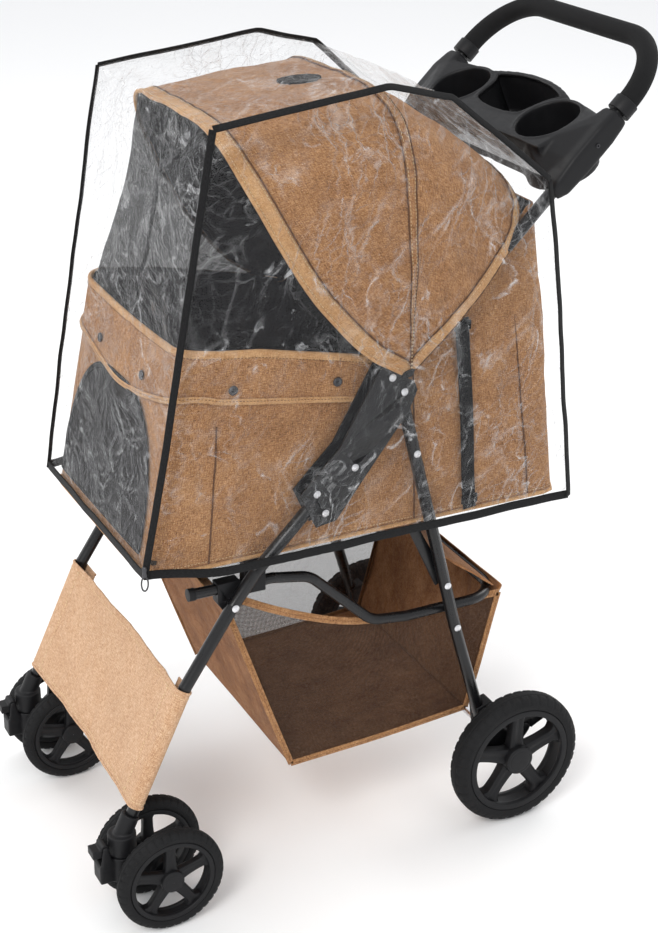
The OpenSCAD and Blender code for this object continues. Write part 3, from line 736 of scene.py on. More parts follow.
# press-stud patch on the crown of the hood: a square grid drawn in to an oval
PATCH_TAU, PATCH_V = 0.48, 0.36
tau_off, v_off = np.meshgrid(np.linspace(-0.028, 0.028, 15), np.linspace(-0.06, 0.06, 15), indexing="ij")
spread = np.hypot(tau_off / 0.028, v_off / 0.06)
shrink = np.maximum(1.0, spread)
dome = 2.0 + 0.8 * (1 - np.minimum(1, spread) ** 4)
p, _ = hood_surface(PATCH_TAU + tau_off / shrink, PATCH_V + v_off / shrink, dome)
hood_parts.append(grid("hood_stud_patch", p, [BLACK_TAPE, BLACK_TAPE], "canopy", flip=True,
                       thick=2.0))
for ob in hood_parts:
    fold_hood(ob)


# ---- cabin --------------------------------------------------------------------------------------
CABIN_HALF = 156.0
CABIN_LOW = 433.0
BASE_CENTRE_Y = -17
SIDES = ((1, "left"), (-1, "right"))


def front_wall(z):
    """Where the cabin's sloping front wall is, along y."""
    return -289 + 54 * (z - 432) / 274


def cabin_plan():
    """Rounded plan as columns of x, shares of front and rear, and an offset, from the rear middle round."""
    rf, rr = 30.0, 17.0
    cols = [(x, 0.0, 1.0, 0.0) for x in np.linspace(0, CABIN_HALF - rr, 14, endpoint=False)]
    for a in np.linspace(0, math.pi / 2, 8, endpoint=False):
        cols.append((CABIN_HALF - rr + rr * math.sin(a), 0.0, 1.0, -rr + rr * math.cos(a)))
    for b in np.linspace(1, 0, 54, endpoint=False):
        cols.append((CABIN_HALF, 1 - b, b, -rr * b + rf * (1 - b)))
    for a in np.linspace(0, math.pi / 2, 12, endpoint=False):
        cols.append((CABIN_HALF - rf + rf * math.cos(a), 1.0, 0.0, rf - rf * math.sin(a)))
    for x in np.linspace(CABIN_HALF - rf, 0, 16):
        cols.append((x, 1.0, 0.0, 0.0))
    half = np.array(cols)
    other = half[::-1][1:].copy()
    other[:, 0] *= -1
    return np.vstack([half, other])


PLAN = cabin_plan()


def cabin_at(cols, z):
    rear = 254 - 50 * (z - 432) / 376
    y = cols[..., 1] * front_wall(z) + cols[..., 2] * rear + cols[..., 3]
    return np.stack([cols[..., 0], y, z], -1)


def rim_height(cols):
    y = cabin_at(cols, np.full(len(cols), 690.0))[:, 1]
    side = np.interp(y, [-232, -149, -36, 25, 45, 117, 190, 205], [690, 681, 657, 641, 651, 718, 790, 806])
    front = 690 - 5 * (1 - (cols[:, 0] / CABIN_HALF) ** 2)
    w = smooth((y + 236) / 40)
    return front * (1 - w) + side * w


RIM_Z = rim_height(PLAN)
RIM_Y = cabin_at(PLAN, RIM_Z)[:, 1]


def cabin_relief(p, f):
    hold = np.sin(math.pi * np.clip(f, 0.02, 0.98)) ** 0.6 * (1 - 0.72 * smooth((-215 - p[..., 1]) / 25))
    slack = 3.0 * ripple(p * np.array([1, 1, 0.55]), 85, 5.0, 3) + 1.0 * ripple(p, 24, 2.0, 2)
    return (2.0 + slack) * hold


def cabin_strip(cols, low, high, rows, lift=0.0, relief=1.0):
    f = np.linspace(0, 1, rows)[None]
    z = low[:, None] + (high - low)[:, None] * f
    p = cabin_at(np.repeat(cols[:, None], rows, 1), z)
    whole = (z - CABIN_LOW) / np.maximum((high - CABIN_LOW)[:, None], 1)
    n = pointed(plan_normals(p), p * np.array([1, 0.6, 0]))
    return p + n * (cabin_relief(p, whole) * relief + lift)[..., None], n


walls, _ = cabin_strip(PLAN, np.full(len(PLAN), CABIN_LOW), RIM_Z, 30)
walls[-1] = walls[0]
shell = grid("cabin_walls", walls, [TAN, LINING], "frame", flip=True, thick=2.2)
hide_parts("cabin_shell")
cabin_parts = [shell]
floor_edge = resample(walls[:, 0], 120)
rings = [floor_edge * np.array([k, k, 1]) + np.array([0, BASE_CENTRE_Y * (1 - k), -3 * (1 - k)])
         for k in (1.0, 0.96, 0.8, 0.5, 0.2, 0.02)]
cabin_parts.append(grid("cabin_underside", np.array(rings).transpose(1, 0, 2), [LINING], "frame",
                        thick=1.5))
loop = floor_edge[:-1]
out = unit(loop * np.array([1, 1, 0]) - np.array([0, BASE_CENTRE_Y, 0]))
cabin_parts.append(sweep("cabin_base_piping", loop + out * 0.6 + np.array([0, 0, 1.0]), circle(2.6, 10), TRIM_TAN,
                         "frame", out, closed=True))
cabin_parts.append(stitches("cabin_base_stitches", loop + out * 0.9 + np.array([0, 0, 7.5]), out, "frame",
                            TAN_THREAD))

front_cols = np.where(RIM_Y < 26)[0]
front_cols = np.arange(front_cols.min(), front_cols.max() + 1)
rim = cabin_strip(PLAN[front_cols], np.full(len(front_cols), CABIN_LOW), RIM_Z[front_cols], 2)[0][:, 1]
RIM_POINTS = 260
rim_fine = resample(rim, RIM_POINTS)
rim_out = pointed(plan_normals(rim_fine), rim_fine * np.array([1, 1, 0]))
cabin_parts.append(sweep("cabin_rim_binding", rim_fine + rim_out * 1.0 + np.array([0, 0, 0.5]), band(11, 5.0),
                         TRIM_TAN, "frame", rim_out))
cabin_parts.append(stitches("cabin_rim_stitches", rim_fine + rim_out * 3.7 + np.array([0, 0, -2.8]), rim_out,
                            "frame", DARK_THREAD))


def flap_low(cols):
    y = cabin_at(cols, np.full(len(cols), 640.0))[:, 1]
    side = np.interp(y, [-240, -176, -58, 30], [640, 630, 612, 596])
    front = 612 + 30 * np.abs(cols[:, 0] / CABIN_HALF) ** 1.6
    w = smooth((y + 242) / 50)
    return front * (1 - w) + side * w


flap_cols = PLAN[front_cols]
flap, flap_n = cabin_strip(flap_cols, flap_low(flap_cols), RIM_Z[front_cols] + 1, 9, 2.8, 0.25)
flap += flap_n * (1.1 * ripple(flap, 40, 11.0, 2))[..., None]
cabin_parts.append(grid("cabin_rim_flap", flap, [TAN, LINING], "frame", flip=True, thick=1.4))
edge = resample(flap[:, 0], RIM_POINTS)
edge_n = along(flap_n[:, 0], np.linspace(0, 1, RIM_POINTS))
cabin_parts.append(sweep("cabin_flap_binding", edge + edge_n * 0.5, band(7.5, 3.2), TRIM_TAN, "frame",
                         unit(edge_n)))
cabin_parts.append(stitches("cabin_flap_stitches", edge + edge_n * 2.2 + np.array([0, 0, 1.2]), unit(edge_n),
                            "frame", DARK_THREAD))

# arched dark window in the front wall
wx = np.linspace(-126, 126, 46)
arch = 470 + 146 * np.maximum(1 - np.abs(wx / 128) ** 3.2, 0.0) ** 0.5
wz = np.linspace(0, 1, 26)
win = np.zeros((46, 26, 3))
for i, (x, top) in enumerate(zip(wx, arch)):
    z = 452 + (top - 452) * wz
    bow = 8 * smooth((abs(x) - 90) / 60)
    win[i] = np.stack([np.full(26, x), front_wall(z) - 2.9 + bow * 0.1, z], 1)
win[..., 1] -= 0.7 * (ripple(win, 70, 5.0, 3) * np.sin(math.pi * wz)[None])
cabin_parts.append(grid("cabin_front_window", win, [NET_DARK], "frame", thick=1.0))
outline = resample(np.vstack([win[0, 1:], win[1:-1, -1], win[-1, ::-1][:-1]]), 150)
cabin_parts.append(sweep("cabin_window_binding", outline + np.array([0, -0.4, 0]), band(8, 1.6), BLACK_TAPE,
                         "frame", unit(facing((0, -1, 0.2), 150))))


def stud(name, at, out, r=5.6):
    """A domed press stud with a dimple, which faces out."""
    profile = [(0.0, 0.2), (0.0, r), (0.9, r), (1.7, r * 0.86), (2.0, r * 0.55), (1.5, r * 0.42), (1.35, 0.2)]
    v, f = lathe(profile, 28)
    out = unit(np.asarray(out, float))
    side = unit(np.cross(out, (0, 0, 1)))
    up = np.cross(side, out)
    w = v.reshape(-1, 3)
    w = np.asarray(at) + w[:, :1] * out + w[:, 1:2] * side + w[:, 2:] * up
    return build(name, w, f, SCREW, "frame")


stud_places = [((x, front_wall(641) - 4.6, 641), (0, -1, 0.2)) for x in (66, -66)]
stud_places += [((side * (CABIN_HALF + 5.0), y, z), (side, 0, 0))
                for side in (1, -1) for y, z in ((-183, 645), (-55, 633))]
for k, (at, out) in enumerate(stud_places):
    cabin_parts.append(stud(f"press_stud_{k}", at, out))

# vertical seams on the side walls
for side, tag in SIDES:
    for k, (y0, y1, top) in enumerate([(212, 176, 700), (-214, -196, 604), (52, 42, 636)]):
        z = np.linspace(438, top, 80)
        p = at_x(side * CABIN_HALF, np.stack([y0 + (y1 - y0) * (z - 438) / 250, z], 1))
        f = np.clip((z - CABIN_LOW) / 255, 0, 1)
        p[:, 0] += side * (cabin_relief(p, f) + 0.5)
        cabin_parts.append(sweep(f"cabin_seam_{tag[0]}{k}", p, circle(1.0, 8), DARK_THREAD, "frame",
                                 facing((side, 0, 0), 80)))
# webbing strap on each side wall, with its end loops
for side, tag in SIDES:
    line = spline([(104, 684), (108, 640), (116, 560), (122, 480), (126, 438)], 60)
    p = at_x(side * (CABIN_HALF + 6.2 + 0.8 * np.sin(np.linspace(0, 5, 60))), line)
    cabin_parts.append(sweep(f"side_strap_{tag}", p, band(18, 2.2), BLACK_TAPE, "frame", facing((side, 0, 0), 60)))
    for k, share in enumerate((0.05, 0.95)):
        v, f = rounded_box(p[int(59 * share)] + np.array([side * 1.2, 0, 0]), (3.2, 22, 12), 1.4)
        cabin_parts.append(build(f"strap_end_{tag}_{k}", v, f, BLACK_TAPE, "frame", v[:, 1:]))
for ob in cabin_parts:
    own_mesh(ob)

# ---- net door, from the hood's hem down to the rim ------------------------------------------------
HEM_SAMPLES = 400
hem_p, _ = hood_line(0.01, -2.0, HEM_SAMPLES)
left_hem = hem_p[:HEM_SAMPLES // 2]
corner = np.argmax(left_hem[:, 0] * 0.6 + left_hem[:, 2])
top_curve = np.vstack([resample(hem_p[6:corner + 1], 41)[:-1], resample(hem_p[corner:-corner], 30)[:-1],
                       resample(hem_p[-corner - 1:-6], 41)])
front_i = np.where(rim[:, 1] < -205)[0]
i0, i1 = front_i.min(), front_i.max()
inner = rim - unit(rim * np.array([1, 1, 0])) * 4
low_curve = np.vstack([resample(inner[:i0 + 1], 41)[:-1], resample(inner[i0:i1 + 1], 30)[:-1],
                       resample(inner[i1:], 41)])
if low_curve[0, 0] * top_curve[0, 0] < 0:
    low_curve = low_curve[::-1]
share = np.linspace(0, 1, 22)[None, :, None]
door = low_curve[:, None] + (top_curve - low_curve)[:, None] * share
door_n = pointed(grid_normals(door), door - np.array([0, 0, 780]))
slack = np.sin(math.pi * share[..., 0]) * (-5 + 7 * ripple(door, 75, 4.0, 3)
                                           + 2.5 * ripple(door * np.array([1, 1, 0.5]), 28, 9.0, 2))
door = door + door_n * slack[..., None]
door_ob = grid("net_door", door, [NET], "canopy", subdivide=1)
door_foot = resample(door[:, 0], 220)
door_trim = sweep("net_door_binding", door_foot + np.array([0, 0, 1.5]), band(9, 1.6), BLACK_TAPE, "canopy",
                  carried_normals(door_foot, (1, 0, 0)))
zip_line = resample(door[55], 90)
door_zip = sweep("net_door_zip", zip_line, band(9, 1.8), BLACK_TAPE, "canopy", carried_normals(zip_line, (0, -1, 0)))
for ob in (door_ob, door_trim, door_zip):
    fold_hood(ob)


# ---- rain cover ---------------------------------------------------------------------------------
FILM_FOOT_Z = 441.0
FILM_SPINE = [(-293.0, FILM_FOOT_Z), (-205.0, 938.0), (0.0, 962.0), (78.0, 943.0), (194.0, 845.0)]
REAR_FOOT = (248.0, FILM_FOOT_Z)


def film_half(y, z):
    """Half width of the cover: narrow at the front edge, full width a little behind it."""
    front = -293 + 88 * (z - FILM_FOOT_Z) / 497
    wide = 168.5 + 21.8 * smooth((y - front) / 90)
    wide = wide - 6.0 * smooth((60 - (y - front)) / 60) * smooth((600 - z) / 160)
    return wide - 25.0 * smooth((z - 850) / 105) * smooth((y - front) / 90)


def film_corner(p):
    """Points (y, z) along an edge, as 3-D points on the left side."""
    return np.stack([film_half(p[:, 0], p[:, 1]), p[:, 0], p[:, 1]], 1)


def film_relief(p, seed):
    broad = 6.5 * ripple(p * np.array([1, 0.8, 0.45]), 110, seed, 2)
    sharp = 2.6 * (1 - 2 * np.abs(ripple(p * np.array([1, 1, 0.6]), 42, seed + 5, 3)))
    return broad + sharp


front_edge = resample([FILM_SPINE[0], FILM_SPINE[1]], 60)
roof_edge = resample(FILM_SPINE[1:], 70)
spine = np.vstack([front_edge, roof_edge[1:]])
tt = np.linspace(1, -1, 44)
strip = film_corner(spine)[:, None] * np.stack([tt, np.ones(44), np.ones(44)], 1)[None]
row = np.arange(len(spine))[:, None]
top_row = len(front_edge) - 1
edge_fade = (1 - np.abs(tt) ** 6)[None] * np.minimum(1, row / 6) * np.minimum(1, (len(spine) - 1 - row) / 6)
crest = np.exp(-((row - top_row) / 3.0) ** 2)
strip_n = pointed(grid_normals(strip), strip - np.array([0, 0, 700]))
roof_only = row > top_row
push = film_relief(strip, 1.0) * edge_fade
push = np.where(roof_only, np.maximum(push * 0.7, -3.0), np.maximum(push * 0.8, -1.2)) - 2.0 * crest * edge_fade
strip += strip_n * push[..., None]
cover_main = grid("cover_front_and_roof", strip, [FILM], "rain_cover", subdivide=1)
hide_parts("rain_cover")
cover_parts = [cover_main]


def between(low, high, share):
    """Points from the low ones to the high ones, at each share."""
    return (1 - share) * low + share * high


rear_edge = resample([FILM_SPINE[-1], (214, 720), (234, 560), REAR_FOOT], 60)
# the side in (y, z): a patch filled in from its four edges
u, w = np.linspace(0, 1, 70), np.linspace(0, 1, 48)
uu, ww = u[:, None, None], w[None, :, None]
foot_edge = np.linspace(FILM_SPINE[0], REAR_FOOT, 70)
fore_edge = np.linspace(FILM_SPINE[0], FILM_SPINE[1], 48)
ruled = between(foot_edge[:, None], roof_edge[:, None], ww)
cross = between(fore_edge[None], resample(rear_edge[::-1], 48)[None], uu)
corners = between(between(foot_edge[0], foot_edge[-1], uu), between(roof_edge[0], roof_edge[-1], uu), ww)
side_yz = ruled + cross - corners
fade = np.minimum(1, np.minimum.outer(np.minimum(u, 1 - u) * 12, np.minimum(w, 1 - w) * 12))
for side, tag in SIDES:
    pane = np.stack([film_half(side_yz[..., 0], side_yz[..., 1]), side_yz[..., 0], side_yz[..., 1]], -1)
    pane[..., 0] += np.clip(film_relief(pane, 20.0 if side > 0 else 31.0), -1.5, 7.0) * fade
    pane[..., 0] += 1.5 * fade
    pane[..., 0] *= side
    cover_parts.append(grid(f"cover_side_{tag}", pane, [FILM], "rain_cover", subdivide=1))
    for where, yz, outward in (("front", front_edge, (0.75, -0.66, 0.1)), ("roof", roof_edge, (0.75, 0, 0.66)),
                               ("rear", rear_edge, (0.9, 0.43, 0.1))):
        p = film_corner(yz) * np.array([side, 1, 1])
        n = unit(facing(outward * np.array([side, 1, 1]), len(p)))
        p = p + n * (1.2 + 1.4 * ripple(p, 60, 2.0, 2))[:, None]
        cover_parts.append(sweep(f"cover_tape_{where}_{tag}", p, band(8.5, 2.0), BLACK_TAPE, "rain_cover", n))
HEM_Z, HEM_POINTS = 444.0, 320
left_foot = film_corner(np.linspace((REAR_FOOT[0], HEM_Z), (FILM_SPINE[0][0], HEM_Z), 120))
corner = left_foot[-1]
hem_path = np.vstack([left_foot, np.linspace(corner, corner * np.array([-1, 1, 1]), 60)[1:-1],
                      left_foot[::-1] * np.array([-1, 1, 1])])
hem_path = resample(hem_path, HEM_POINTS)
hem_dir = pointed(plan_normals(hem_path), hem_path - np.array([0, -20, HEM_Z]))
hem_rise = 1.5 * ripple(hem_path, 90, 12.0, 2)
hem_path += hem_dir * (1.4 + 1.2 * ripple(hem_path, 70, 6.0, 2))[:, None]
hem_path[:, 2] += hem_rise
hem = sweep("cover_hem", hem_path, band(11, 2.4), BLACK_TAPE, "rain_cover", hem_dir)
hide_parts("cover_binding")
cover_parts.append(hem)

# zip pull at the foot of the near front edge
pull_at = np.array([169.0, -296.0, 446.0])
turn = np.linspace(0, 2 * math.pi, 24, endpoint=False)
loop_path = pull_at + np.stack([np.zeros(24), 4 * np.sin(turn), -9 + 9 * np.cos(turn)], 1)
cover_parts.append(sweep("cover_zip_pull", loop_path, circle(1.0, 8), SCREW, "rain_cover",
                         closed=True))
slider = np.linspace(pull_at - (0, 0, 2), pull_at + (0, 0, 12), 8)
cover_parts.append(sweep("cover_zip_slider", slider, circle(3.0, 10, 0.6), SCREW, "rain_cover",
                         facing((0.75, -0.66, 0), 8), scale=[0.7, 1, 1, 0.8, 0.8, 1, 1, 0.6]))
for ob in cover_parts:
    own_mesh(ob)


# ---- leg panel ----------------------------------------------------------------------------------
LEG_X = 173.0
ACROSS, DOWN = 150, 40
sleeve_r = 9.6
leg_top, leg_low = np.array([-255.5, 291.0]), np.array([-319.0, 153.5])
leg_dir = unit(leg_low - leg_top)
leg_front = np.array([leg_dir[1], -leg_dir[0]])


def panel_section():
    """Cross-section across the legs as (x, forward): round one leg, over the front, round the other."""
    pts = [(140, -sleeve_r + 1.0), (158, -sleeve_r)]
    pts += [(LEG_X + sleeve_r * math.sin(a), -sleeve_r * math.cos(a)) for a in np.linspace(0, math.pi, 9)]
    pts += [(150, sleeve_r - 1.5), (110, sleeve_r - 3.5), (60, 3.0), (0, 2.0)]
    half = np.array(pts, float)
    return resample(np.vstack([half, half[::-1][1:] * np.array([-1, 1])]), ACROSS)


section = panel_section()
panel = np.zeros((ACROSS, DOWN, 3))
on_front = np.abs(np.arange(ACROSS) - (ACROSS - 1) / 2) < 62
middle = np.clip(1 - np.abs(section[:, 0]) / 150, 0, 1) * on_front
for j, w in enumerate(np.linspace(0, 1, DOWN)):
    forward = section[:, 1] - 3.0 * np.sin(math.pi * w) * middle
    panel[:, j] = at_x(section[:, 0], leg_top + (leg_low - leg_top) * w + leg_front * forward[:, None])
free = smooth((160 - np.abs(section[:, 0])) / 40)[:, None]
panel[..., 1] += free * (2.4 * ripple(panel, 90, 7.0, 3) + 0.8 * ripple(panel, 26, 3.0, 2))
panel_ob = grid("leg_panel_cloth", panel, [TAN_LIGHT], "frame", thick=1.2)
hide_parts("leg_panel")
for tag, j, off in (("top", 0, 1), ("bottom", DOWN - 1, -1)):
    line = resample(panel[:, j], 240)
    ring = resample(section, 240)
    inside = np.stack([np.clip(ring[:, 0], -LEG_X, LEG_X), np.zeros(240)], 1)
    out = pointed(plan_normals(ring)[:, :2], ring - inside)
    n = at_x(out[:, 0], leg_front * out[:, 1:])
    stitches(f"leg_panel_stitch_{tag}", line + np.array([0, *leg_dir]) * 7 * off + n * 0.25, n,
                          "frame", TAN_THREAD)
    sweep(f"leg_panel_hem_{tag}", line + n * -0.3, band(3.4, 2.6), TAN_LIGHT, "frame", n)
for side, tag in SIDES:
    w = np.linspace(0.02, 0.98, 60)
    line = at_x(side * 152.0, leg_top + (leg_low - leg_top) * w[:, None] + leg_front * (sleeve_r - 1.0))
    stitches(f"leg_panel_stitch_{tag}", line, facing((0, *leg_front), 60), "frame", TAN_THREAD)


# ---- basket -------------------------------------------------------------------------------------
BX = 145.5
front_top, front_low = (-197.0, 392.0), (-105.0, 131.0)
rear_low, rear_top = (143.0, 143.0), (184.0, 300.0)
basket = []


def basket_panel(name, pts, outside, sag):
    """Cloth between the sides, along (y, z) points; the middle sags along its normal."""
    n, m = 40, 60
    x = np.linspace(-BX, BX, n)
    p = np.zeros((n, m, 3))
    p[..., 0] = x[:, None]
    p[..., 1:] = spline(pts, m)[None]
    drop = (np.cos(x / BX * math.pi / 2)[:, None] ** 0.8) * np.sin(np.linspace(0, math.pi, m))[None]
    wrinkle = 3.0 * ripple(p, 80, 13.0, 3) * np.sin(np.linspace(0.1, math.pi - 0.1, m))[None]
    p = p - grid_normals(p) * (sag * drop + wrinkle)[..., None]
    return grid(name, p, [outside, BROWN], "basket", thick=1.6)


FRONT_SLOPE, REAR_SLOPE = [(-130, 200), (-165, 300)], [(160, 205), (176, 270)]
for name, pts, outside, sag in (
        ("front", [(-214, 402), (-205, 396), front_top, *FRONT_SLOPE[::-1], front_low], TAN, -6),
        ("floor", [front_low, (-40, 133), (60, 137), rear_low], BROWN, 5),
        ("rear", [rear_low, *REAR_SLOPE, rear_top, (188, 308), (184, 313)], BROWN, 6),
        ("rear_apron", [(176, 311), (150, 330), (96, 372), (60, 405), (46, 431)], BROWN, 10)):
    basket.append(basket_panel(f"basket_{name}", pts, outside, sag))
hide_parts("basket_bag")
side_top = spline([(-192, 388), (-128, 352), (-60, 322), (0, 306), (80, 301), (150, 301), rear_top], 60)
for side, tag in SIDES:
    low = spline([front_low, (20, 135), rear_low], 60)
    w = np.linspace(0, 1, 34)[None, :, None]
    p = np.zeros((60, 34, 3))
    p[..., 1:] = side_top[:, None] * w + low[:, None] * (1 - w)
    p[..., 0] = BX * side
    belly = np.sin(np.linspace(0, math.pi, 34))[None] * np.sin(np.linspace(0.15, math.pi - 0.15, 60))[:, None]
    p[..., 0] -= side * belly * (7 + 6 * ripple(p, 90, 17.0 + side, 3))
    basket.append(grid(f"basket_net_{tag}", p, [NET_SIDE], "basket"))
    out = facing((side, 0, 0), 60)
    for name, line, width in (("top", side_top, 10), ("low", low, 8),
                              ("front", resample([front_low, *FRONT_SLOPE, front_top], 60), 8),
                              ("rear", resample([rear_low, *REAR_SLOPE, rear_top], 60), 8)):
        pts = at_x(side * (BX + 0.6), line)
        basket.append(sweep(f"basket_binding_{name}_{tag}", pts, band(width, 2.2), TAN, "basket", out))
        basket.append(stitches(f"basket_stitch_{name}_{tag}", pts + out * 1.3, out, "basket", DARK_THREAD))
for ob in basket:
    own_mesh(ob)


# ---- cushion ------------------------------------------------------------------------------------
def pad():
    """The cushion as two crowned sheets joined by a rim, and the cord round it."""
    nx, ny = 41, 61
    u, v = np.meshgrid(np.linspace(-1, 1, nx), np.linspace(-1, 1, ny), indexing="ij")
    x = 143 * u * (1 - 0.022 * (1 - v ** 2) * (np.abs(u) > 0.9))
    y = -12 + 250 * v * (1 - 0.012 * (1 - u ** 2) * (np.abs(v) > 0.9))
    crown = (np.clip(1 - np.abs(u) ** 5, 0, 1) * np.clip(1 - np.abs(v) ** 7, 0, 1)) ** 0.5
    quilt = 2.2 * np.abs(np.sin(v * math.pi * 3)) ** 0.6
    top = 459 + crown * (15 + quilt) + 0.8 * crown * ripple(np.stack([x, y, 0 * x], 2), 60, 21.0, 3)
    low = 458 - crown * 4
    a = np.stack([x, y, top], 2).reshape(-1, 3)
    b = np.stack([x, y, low], 2).reshape(-1, 3)
    f = [tuple(q) for q in quads(nx, ny)] + [tuple(q + nx * ny) for q in quads(nx, ny, flip=True)]
    edge = ([i * ny for i in range(nx)] + [(nx - 1) * ny + j for j in range(1, ny)]
            + [i * ny + ny - 1 for i in range(nx - 2, -1, -1)] + [j for j in range(ny - 2, 0, -1)])
    for p, q in zip(edge, edge[1:] + edge[:1]):
        f.append((p, p + nx * ny, q + nx * ny, q))
    uv = np.vstack([a[:, :2], b[:, :2]])
    ob = build("cushion_pad", np.vstack([a, b]), f, LINING, "frame", uv)
    ring = np.stack([x, y, (top + low) / 2], 2).reshape(-1, 3)[edge]
    ring = resample(np.vstack([ring, ring[:1]]), 200)[:-1]
    cord = sweep("cushion_piping", ring, circle(2.2, 8), BLACK_TAPE, "frame", facing((0, 0, 1), 199),
                 closed=True)
    return ob, cord


def voxels(ob, size):
    modifier(ob, "REMESH", mode="VOXEL", voxel_size=size * MM, use_smooth_shade=True)


def inflated(ob, cap, voxel=5.0, pressure=4.0, frames=20):
    """Swells a padded form by cloth simulation under air pressure; no point moves further than the cap."""
    voxels(ob, voxel)
    frozen(ob)
    rest = np.array([v.co for v in ob.data.vertices]) / MM
    cloth = ob.modifiers.new("cloth", "CLOTH")
    cloth.settings.use_pressure = True
    cloth.settings.uniform_pressure_force = pressure
    cloth.settings.effector_weights.gravity = 0
    cloth.point_cache.frame_start, cloth.point_cache.frame_end = 1, frames
    for f in range(1, frames + 1):
        scene.frame_set(f)
    shape = ob.evaluated_get(bpy.context.evaluated_depsgraph_get()).data
    made = np.array([v.co for v in shape.vertices]) / MM
    faces = [tuple(q.vertices) for q in ob.data.polygons]
    scene.frame_set(1)
    step = made - rest
    far = np.linalg.norm(step, axis=1, keepdims=True)
    made = rest + step * np.minimum(1, cap / np.maximum(far, 1e-9))
    made[:, 2] = np.maximum(made[:, 2], rest[:, 2].min() - 0.2)
    bpy.data.objects.remove(ob)
    soft = build("cushion_pad", made, faces, LINING, "frame", made[:, :2])
    subdivided(soft)
    return soft


cushion, cushion_cord = pad()
cushion = inflated(cushion, 5.0)
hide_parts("cushion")
for ob in (cushion, cushion_cord):
    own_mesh(ob)


# ---- moulded parts ------------------------------------------------------------------------------
WELD_M = 0.00002


def eased(ob, rounds):
    modifier(ob, "SMOOTH", factor=0.5, iterations=rounds)


def soft_copy(new_name, name, voxel, rounds):
    """One rounded casting in place of a CAD node: its shape with the hard corners eased."""
    node = nodes[name]
    verts = [tuple(node.matrix_world @ v.co) for v in node.data.vertices]
    faces = [tuple(p.vertices) for p in node.data.polygons]
    ob = build(new_name, np.array(verts) / MM, faces, PLASTIC, body_of(node)[0])
    modifier(ob, "WELD", merge_threshold=WELD_M)
    voxels(ob, voxel)
    eased(ob, rounds)
    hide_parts(name)


def bevelled(name, mat, width):
    """Keeps the CAD node, with eased edges and its own material."""
    ob = nodes[name]
    ob.data.materials.clear()
    ob.data.materials.append(mat)
    modifier(ob, "WELD", merge_threshold=WELD_M)
    modifier(ob, "BEVEL", width=width * MM, segments=3, limit_method="ANGLE", angle_limit=math.radians(32),
             harden_normals=True, use_clamp_overlap=True)
    for p in ob.data.polygons:
        p.use_smooth = True


for mat, width, names in (
        (TUBE, 0.5, ("front_leg_left", "front_leg_right", "rear_leg_left", "rear_leg_right", "handle_tube",
                     "basket_tube", "base_frame", "rim_bar", "cabin_struts")),
        (PLATE, 0.9, ("side_plates_left", "side_plates_right")),
        (PLASTIC, 0.8, ("fold_latch_left", "fold_latch_right", "handle_collars", "basket_caps", "basket_clips")),
        (ZINC, 0.35, ("frame_rivets", "pivot_pins", "rear_leg_rivets", "rear_axle", "castor_axle_left",
                      "castor_axle_right")),
        (SCREW, 0.3, ("tray_screws",)), (FOAM, 0.8, ("handle_grip",)), (BOARD, 0.8, ("floor_board",))):
    for name in names:
        bevelled(name, mat, width)
for _, tag in SIDES:
    for made_name, cad_name, voxel, rounds in (
            ("castor_fork", "castor_housing", 1.3, 5), ("castor_socket_cast", "castor_socket", 1.2, 4),
            ("castor_lock_lever", "castor_lock", 0.8, 3), ("brake_cast", "brake_housing", 1.2, 5),
            ("brake_lever", "brake_pedal", 0.8, 3)):
        soft_copy(f"{made_name}_{tag}", f"{cad_name}_{tag}", voxel, rounds)


class Parts:
    """Gathers lofts and turned shapes into one mesh."""

    def __init__(self):
        self.v, self.f, self.n = [], [], 0

    def add(self, v, f):
        v = np.asarray(v, float).reshape(-1, 3)
        self.v.append(v)
        self.f += [tuple(int(i) + self.n for i in q) for q in f]
        self.n += len(v)

    def make(self, name, mat, body, at=(0, 0, 0)):
        return build(name, np.vstack(self.v) + np.asarray(at, float), self.f, mat, body)


def rounded(points, r, steps):
    """Closed polygon with its corners rounded."""
    pts = np.asarray(points, float)
    out = []
    for i in range(len(pts)):
        a, b, c = pts[i - 1], pts[i], pts[(i + 1) % len(pts)]
        u1, u2 = unit(a - b), unit(c - b)
        d = min(r, np.linalg.norm(a - b) * 0.45, np.linalg.norm(c - b) * 0.45)
        p, q = b + u1 * d, b + u2 * d
        for t in np.linspace(0, 1, steps):
            out.append((1 - t) ** 2 * p + 2 * t * (1 - t) * b + t ** 2 * q)
    return np.array(out)


# ---- cup tray -----------------------------------------------------------------------------------
TILT = math.radians(23)
WELL_X, BAR_X = 99, 173


def tilted(p, angle, y, z):
    """Points (x, along, up) of a plane that is tilted about X, with its origin at (y, z)."""
    p = np.asarray(p, float)
    c, s = math.cos(angle), math.sin(angle)
    return np.stack([p[..., 0], y + c * p[..., 1] - s * p[..., 2], z + s * p[..., 1] + c * p[..., 2]], -1)


def on_tray(p):
    return tilted(p, TILT, 248, 888)


def on_bar(p):
    """Points (x, along the push bar's leg, across it)."""
    return tilted(p, math.radians(44.75), 27.0, 642.0)


def hull(points):
    """Convex hull of the points, as vertices and faces."""
    bm = bmesh.new()
    for q in np.asarray(points, float):
        bm.verts.new(q)
    bmesh.ops.convex_hull(bm, input=bm.verts)
    loose = [q for q in bm.verts if not q.link_faces]
    bmesh.ops.delete(bm, geom=loose, context="VERTS")
    bm.verts.index_update()
    v = np.array([q.co[:] for q in bm.verts])
    f = [[q.index for q in face.verts] for face in bm.faces]
    bm.free()
    return v, f


